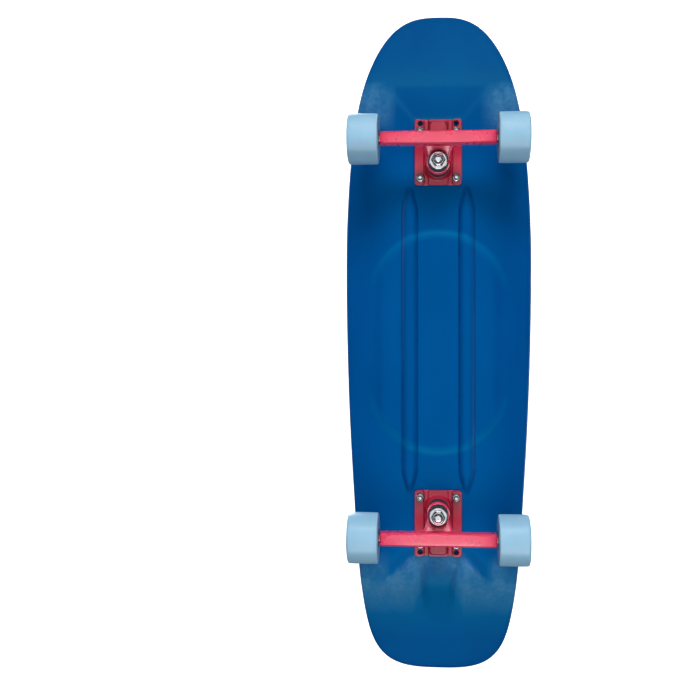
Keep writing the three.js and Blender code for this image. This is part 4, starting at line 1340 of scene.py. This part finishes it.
def makeBushing(bounds, waist):
    start, end, radius = bounds
    bore = truckValues["kingpinRadius"] + truckValues["kingpinGap"]
    middle = (start + end) / 2
    corners = [(bore, start, 0.4), (radius - 0.3, start, 0.9), (radius, start + 2.2, 0.6),
               (radius - waist, middle, 3), (radius, end - 2.2, 0.6), (radius - 0.3, end, 0.9),
               (bore, end, 0.4)]
    return moved(spinShape(roundProfile(corners, 5), 56), kingpinMatrix())


def makeCupWasher():
    start, end, radius = truckValues["cupWasher"]
    bore = truckValues["kingpinRadius"] + truckValues["kingpinGap"]
    corners = [(bore, end, 0.25), (bore, start + 0.2, 0.3), (radius - 2.6, start, 0.8),
               (radius - 0.9, start - 0.5, 0.6), (radius - 0.5, start - 2.3, 0.25),
               (radius, start - 2.3, 0.25), (radius, end - 0.6, 0.5), (radius - 0.7, end, 0.3)]
    return moved(spinShape(roundProfile(corners, 4), 64), kingpinMatrix())


# Hexagon nuts: a bevelled prism kept inside a turned blank, with a collar on the lock nuts
def hexOutline(acrossFlats):
    radius = acrossFlats / 2 / math.cos(math.pi / 6)
    return [(radius * math.cos(math.pi / 3 * turn), radius * math.sin(math.pi / 3 * turn))
            for turn in range(6)]


def makeNut(acrossFlats, height, boreRadius, collar):
    flats = acrossFlats / 2
    corner = flats / math.cos(math.pi / 6)
    hexHeight = height - collar
    blank = [(0, 0), (flats - 0.25, 0), (corner + 0.1, (corner - flats + 0.35) * 0.55)]
    if collar:
        blank += [(corner + 0.1, hexHeight - 0.9), (flats, hexHeight),
                  (flats - 0.35, hexHeight + 0.25), (flats - 0.45, height - 0.7),
                  (flats - 1.0, height - 0.15), (flats - 1.5, height), (0, height)]
    else:
        blank += [(corner + 0.1, height - (corner - flats + 0.35) * 0.55), (flats - 0.25, height),
                  (0, height)]
    bore = boreRadius + 0.25
    hole = [(0, -1), (bore + 0.7, -1), (bore + 0.5, 0.1), (bore, 0.7)]
    if collar:
        hole += [(bore, height - 1.9), (flats - 1.6, height - 1.9), (flats - 1.6, height + 1)]
    else:
        hole += [(bore, height - 0.7), (bore + 0.5, height - 0.1), (bore + 0.7, height + 1)]
    prism = prismShape(hexOutline(acrossFlats), height)
    kept = spinShape(blank, 72, False)
    cutter = spinShape([*hole, (0, height + 1)], 40, False)
    return combine(prism, cut=[cutter], kept=[kept])


def makeNylonRing(acrossFlats, height, boreRadius):
    outer = acrossFlats / 2 - 1.55
    corners = [(boreRadius + 0.05, height - 1.85, 0.2), (outer, height - 1.85, 0.1),
               (outer, height - 0.35, 0.3), (boreRadius + 0.05, height - 0.35, 0.35)]
    return spinShape(roundProfile(corners), 40)


# Deck screws: countersunk heads with a cross recess and a threaded tip
screwValues = {"radius": 2.4, "headRadius": 4.65, "headHeight": 2.6, "pitch": 0.79,
               "crossWidth": 1.15, "crossReach": 2.5, "crossDepth": 1.7, "turnStep": 0.9}
lockNutValues = {"flats": 9.5, "collar": 1.8, "firstTurn": 0.4}


def makeScrew(values, length):
    radius, head = values["radius"], values["headRadius"]
    profile = [(0, -0.12), (head - 0.35, -0.12), (head, -0.3), (head, -0.55),
               (radius + 0.25, -values["headHeight"]), (radius, -values["headHeight"] - 0.4),
               (radius, -length * 0.55), *[(r, -h) for r, h in threadPoints(
                   radius, length * 0.56, length - 0.6, values["pitch"])],
               (radius - 0.8, -length), (0, -length)]
    screw = spinShape(profile, 40, False)
    tools = []
    for turn in (0, math.pi / 2):
        half, reach, depth = values["crossWidth"] / 2, values["crossReach"], values["crossDepth"]
        sections = [
            flatSection([(-reach * 0.45, -half * 0.6), (reach * 0.45, -half * 0.6),
                         (reach * 0.45, half * 0.6), (-reach * 0.45, half * 0.6)], -depth),
            flatSection([(-reach, -half), (reach, -half), (reach, half), (-reach, half)], 0.3),
        ]
        tools.append(moved(loftShape(sections), Matrix.Rotation(turn, 4, "Z")))
    return combine(screw, cut=tools)


# Axle and everything threaded on it
axleValues = {"radius": 3.97, "halfLength": 102, "threadLength": 12, "pitch": 1.05,
              "washerRadius": 5.6, "innerWasher": (64.8, 65.8), "outerWasher": (93.4, 94.4),
              "nut": (94.7, 101.1, 12.7), "nutCollar": 2.0}


def makeAxle(values):
    radius, half = values["radius"], values["halfLength"]
    start = half - values["threadLength"]
    tip = [(radius, start - 1), *threadPoints(radius, start, half - 0.7, values["pitch"]),
           (radius - 0.9, half), (0, half)]
    mirrored = [(r, -h) for r, h in reversed(tip)]
    return moved(spinShape([*mirrored, *tip], 40, False), axleMatrix(1))


def makeWasher(values, bounds, side):
    start, end = bounds
    bore = values["radius"] + 0.3
    corners = [(bore, start, 0.15), (values["washerRadius"], start, 0.25),
               (values["washerRadius"], end, 0.25), (bore, end, 0.15)]
    return moved(spinShape(roundProfile(corners), 40), axleMatrix(side))


# Wheels: smooth tread with round lips, a recessed hub face outside and bearings in the core
wheelValues = {"radius": 28, "start": 65.8, "width": 34.6, "lip": 5.5, "seat": 11.05, "core": 9.4,
               "innerBearing": (0.3, 7.3), "outerBearing": (20.3, 27.3), "dish": 17.2,
               "dishDepth": 1.8, "steps": 128}


def makeWheel(values, side):
    radius, width, lip = values["radius"], values["width"], values["lip"]
    seat, core = values["seat"], values["core"]
    corners = [
        (seat, 0.2, 0.3), (seat + 1.8, 0, 0.4), (radius - lip, 0, 1), (radius - 0.2, 0.5, 1.6),
        (radius, 7, 3), (radius, width - 7, 3), (radius - 0.3, width - 0.8, 2.2),
        (radius - lip, width, 1), (values["dish"] + 0.6, width, 0.8),
        (values["dish"] - 0.9, width - values["dishDepth"], 0.8),
        (seat + 2.2, width - values["dishDepth"], 0.7), (seat + 0.3, width - 3.6, 0.6),
        (seat, values["outerBearing"][1] + 0.6, 0.3), (seat, values["outerBearing"][0] - 0.2, 0.1),
        (core, values["outerBearing"][0] - 0.2, 0.1), (core, values["innerBearing"][1] + 0.2, 0.1),
        (seat, values["innerBearing"][1] + 0.2, 0.1),
    ]
    shape = spinShape(roundProfile(corners, 5), values["steps"])
    return moved(shape, axleMatrix(side) @ Matrix.Translation((0, 0, values["start"])))


def bearingMatrix(bounds, side):
    return axleMatrix(side) @ Matrix.Translation((0, 0, wheelValues["start"] + bounds[0]))


def makeBearingRings(bounds, side):
    width = bounds[1] - bounds[0]
    outer = [(8.9, 0.2, 0.1), (9.5, 0, 0.2), (10.98, 0, 0.4), (10.98, width, 0.4),
             (9.5, width, 0.2), (8.9, width - 0.2, 0.1)]
    inner = [(4.05, 0, 0.35), (6.0, 0, 0.2), (6.3, 0.25, 0.1), (6.3, width - 0.25, 0.1),
             (6.0, width, 0.2), (4.05, width, 0.35)]
    rings = spinShape(roundProfile(outer), 64)
    second = spinShape(roundProfile(inner), 64)
    mesh = bpy.data.meshes.new("ring")
    second.to_mesh(mesh)
    second.free()
    rings.from_mesh(mesh)
    bpy.data.meshes.remove(mesh)
    return moved(rings, bearingMatrix(bounds, side))


def makeShields(bounds, side):
    width = bounds[1] - bounds[0]
    corners = [(6.35, 0.45, 0.1), (7.0, 0.3, 0.2), (8.3, 0.3, 0.2), (8.95, 0.5, 0.1),
               (8.95, width - 0.5, 0.1), (8.3, width - 0.3, 0.2), (7.0, width - 0.3, 0.2),
               (6.35, width - 0.45, 0.1)]
    return moved(spinShape(roundProfile(corners), 64), bearingMatrix(bounds, side))


def blendBushing(barrel, axis):
    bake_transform(barrel)


def addSteering(place):
    matrix = truckMatrix(place)
    chrome, zinc = metals["chrome"], metals["zinc"]
    plate = castSkin(plateSolids(plateValues), plateValues["voxel"], plateValues["passes"])
    plate = combine(plate, cut=plateCuts(plateValues))
    # the baseplate wears the darker coat, which paints its shade
    addPiece(f"{place}_baseplate_casting", moved(plate, matrix), paints["crimson coat with painted shade"], "board",
             [f"{place}_baseplate"])
    hanger = castSkin(hangerSolids(hangerValues), hangerValues["voxel"], hangerValues["passes"])
    hanger = combine(hanger, joined=[noseShape(hangerValues)], cut=hangerCuts(hangerValues))
    bar = combine(barShape(hangerValues, 0), cut=[axleHole(hangerValues)])
    body = f"{place}_truck"
    for name, shape in (("casting", hanger), ("bar", bar)):
        addPiece(f"{place}_hanger_{name}", moved(shape, matrix), paints["coral coat"], body,
                 [f"{place}_hanger"])
    addPiece(f"{place}_pivot_bush", moved(makePivotCup(truckPivotValues), matrix),
             softs["bushing urethane"], "board", [f"{place}_pivot_cup"])
    addPiece(f"{place}_kingpin_bolt", moved(makeKingpin(), matrix), chrome, "board",
             [f"{place}_kingpin"])
    for label, waist in (("boardBushing", 1.1), ("roadBushing", 0.9)):
        node = f"{place}_{label.replace('Bushing', '_bushing')}"
        barrel = addPiece(f"{node}_barrel", moved(makeBushing(truckValues[label], waist), matrix),
                          softs["bushing urethane"], None, [node])
        blendBushing(barrel, matrix @ kingpinMatrix())
    addPiece(f"{place}_dished_washer", moved(makeCupWasher(), matrix), chrome, "board",
             [f"{place}_cup_washer"])
    start, end, flats = truckValues["kingpinNut"]
    nutPlace = matrix @ kingpinMatrix() @ Matrix.Translation((0, 0, start))
    nut = makeNut(flats, end - start, truckValues["kingpinRadius"], truckValues["nutCollar"])
    addPiece(f"{place}_kingpin_hexnut", moved(nut, nutPlace), chrome, "board",
             [f"{place}_kingpin_nut"])
    ring = makeNylonRing(flats, end - start, truckValues["kingpinRadius"])
    addPiece(f"{place}_kingpin_nut_ring", moved(ring, nutPlace), softs["nylon ring"], "board",
             [f"{place}_kingpin_nut"])


def addFasteners(place):
    for label in boltLabels:
        node = f"{place}_deck_bolt_{label}"
        low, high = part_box(node)
        middle = (low + high) / 2 / mm
        top = high.z / mm
        screw = makeScrew(screwValues, top - low.z / mm)
        spot = Matrix.Translation((middle.x, middle.y, top))
        angle = screwValues["turnStep"] * boltLabels.index(label) + trucks[place]
        turn = Matrix.Rotation(angle, 4, "Z")
        addPiece(f"{node}_screw", moved(screw, spot @ turn), metals["zinc"], "board",
                 [node])
        node = f"{place}_lock_nut_{label}"
        low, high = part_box(node)
        flats, height = lockNutValues["flats"], (high.z - low.z) / mm
        angle = lockNutValues["firstTurn"] + boltLabels.index(label)
        spot = (Matrix.Translation((middle.x, middle.y, high.z / mm))
                @ Matrix.Rotation(math.pi, 4, "X") @ Matrix.Rotation(angle, 4, "Z"))
        nut = makeNut(flats, height, screwValues["radius"], lockNutValues["collar"])
        addPiece(f"{node}_hexnut", moved(nut, spot), metals["zinc"], "board", [node])
        addPiece(f"{node}_ring", moved(makeNylonRing(flats, height, screwValues["radius"]), spot),
                 softs["nylon ring"], "board", [node])


def addAxle(place):
    matrix = truckMatrix(place)
    addPiece(f"{place}_axle_rod", moved(makeAxle(axleValues), matrix), metals["zinc"],
             f"{place}_truck", [f"{place}_axle"])
    for sideName, worldSide in (("left", 1), ("right", -1)):
        side = worldSide if trucks[place] == 0 else -worldSide
        name = f"{place}_{sideName}"
        for label in ("innerWasher", "outerWasher"):
            node = f"{name}_{label.replace('Washer', '_washer')}"
            addPiece(f"{node}_ring", moved(makeWasher(axleValues, axleValues[label], side), matrix),
                     metals["zinc"], f"{place}_truck", [node])
        start, end, flats = axleValues["nut"]
        spot = matrix @ axleMatrix(side) @ Matrix.Translation((0, 0, start))
        nut = makeNut(flats, end - start, axleValues["radius"], axleValues["nutCollar"])
        addPiece(f"{name}_axle_hexnut", moved(nut, spot), metals["zinc"], f"{place}_truck",
                 [f"{name}_axle_nut"])
        addPiece(f"{name}_axle_nut_ring",
                 moved(makeNylonRing(flats, end - start, axleValues["radius"]), spot),
                 softs["nylon ring"], f"{place}_truck", [f"{name}_axle_nut"])
        body = f"{name}_wheel_body"
        addPiece(f"{name}_wheel_tyre", moved(makeWheel(wheelValues, side), matrix),
                 softs["wheel urethane"], body, [f"{name}_wheel"])
        for label in ("inner", "outer"):
            bounds = wheelValues[f"{label}Bearing"]
            node = f"{name}_{label}_bearing"
            addPiece(f"{node}_races", moved(makeBearingRings(bounds, side), matrix),
                     metals["bearing steel"], body, [node], 50)
            addPiece(f"{node}_shields", moved(makeShields(bounds, side), matrix),
                     softs["bearing shield"], body, [node])


for truckPlace in trucks:
    addSteering(truckPlace)
    addFasteners(truckPlace)
    addAxle(truckPlace)
    print(truckPlace, "truck made")

scene.frame_set(1)
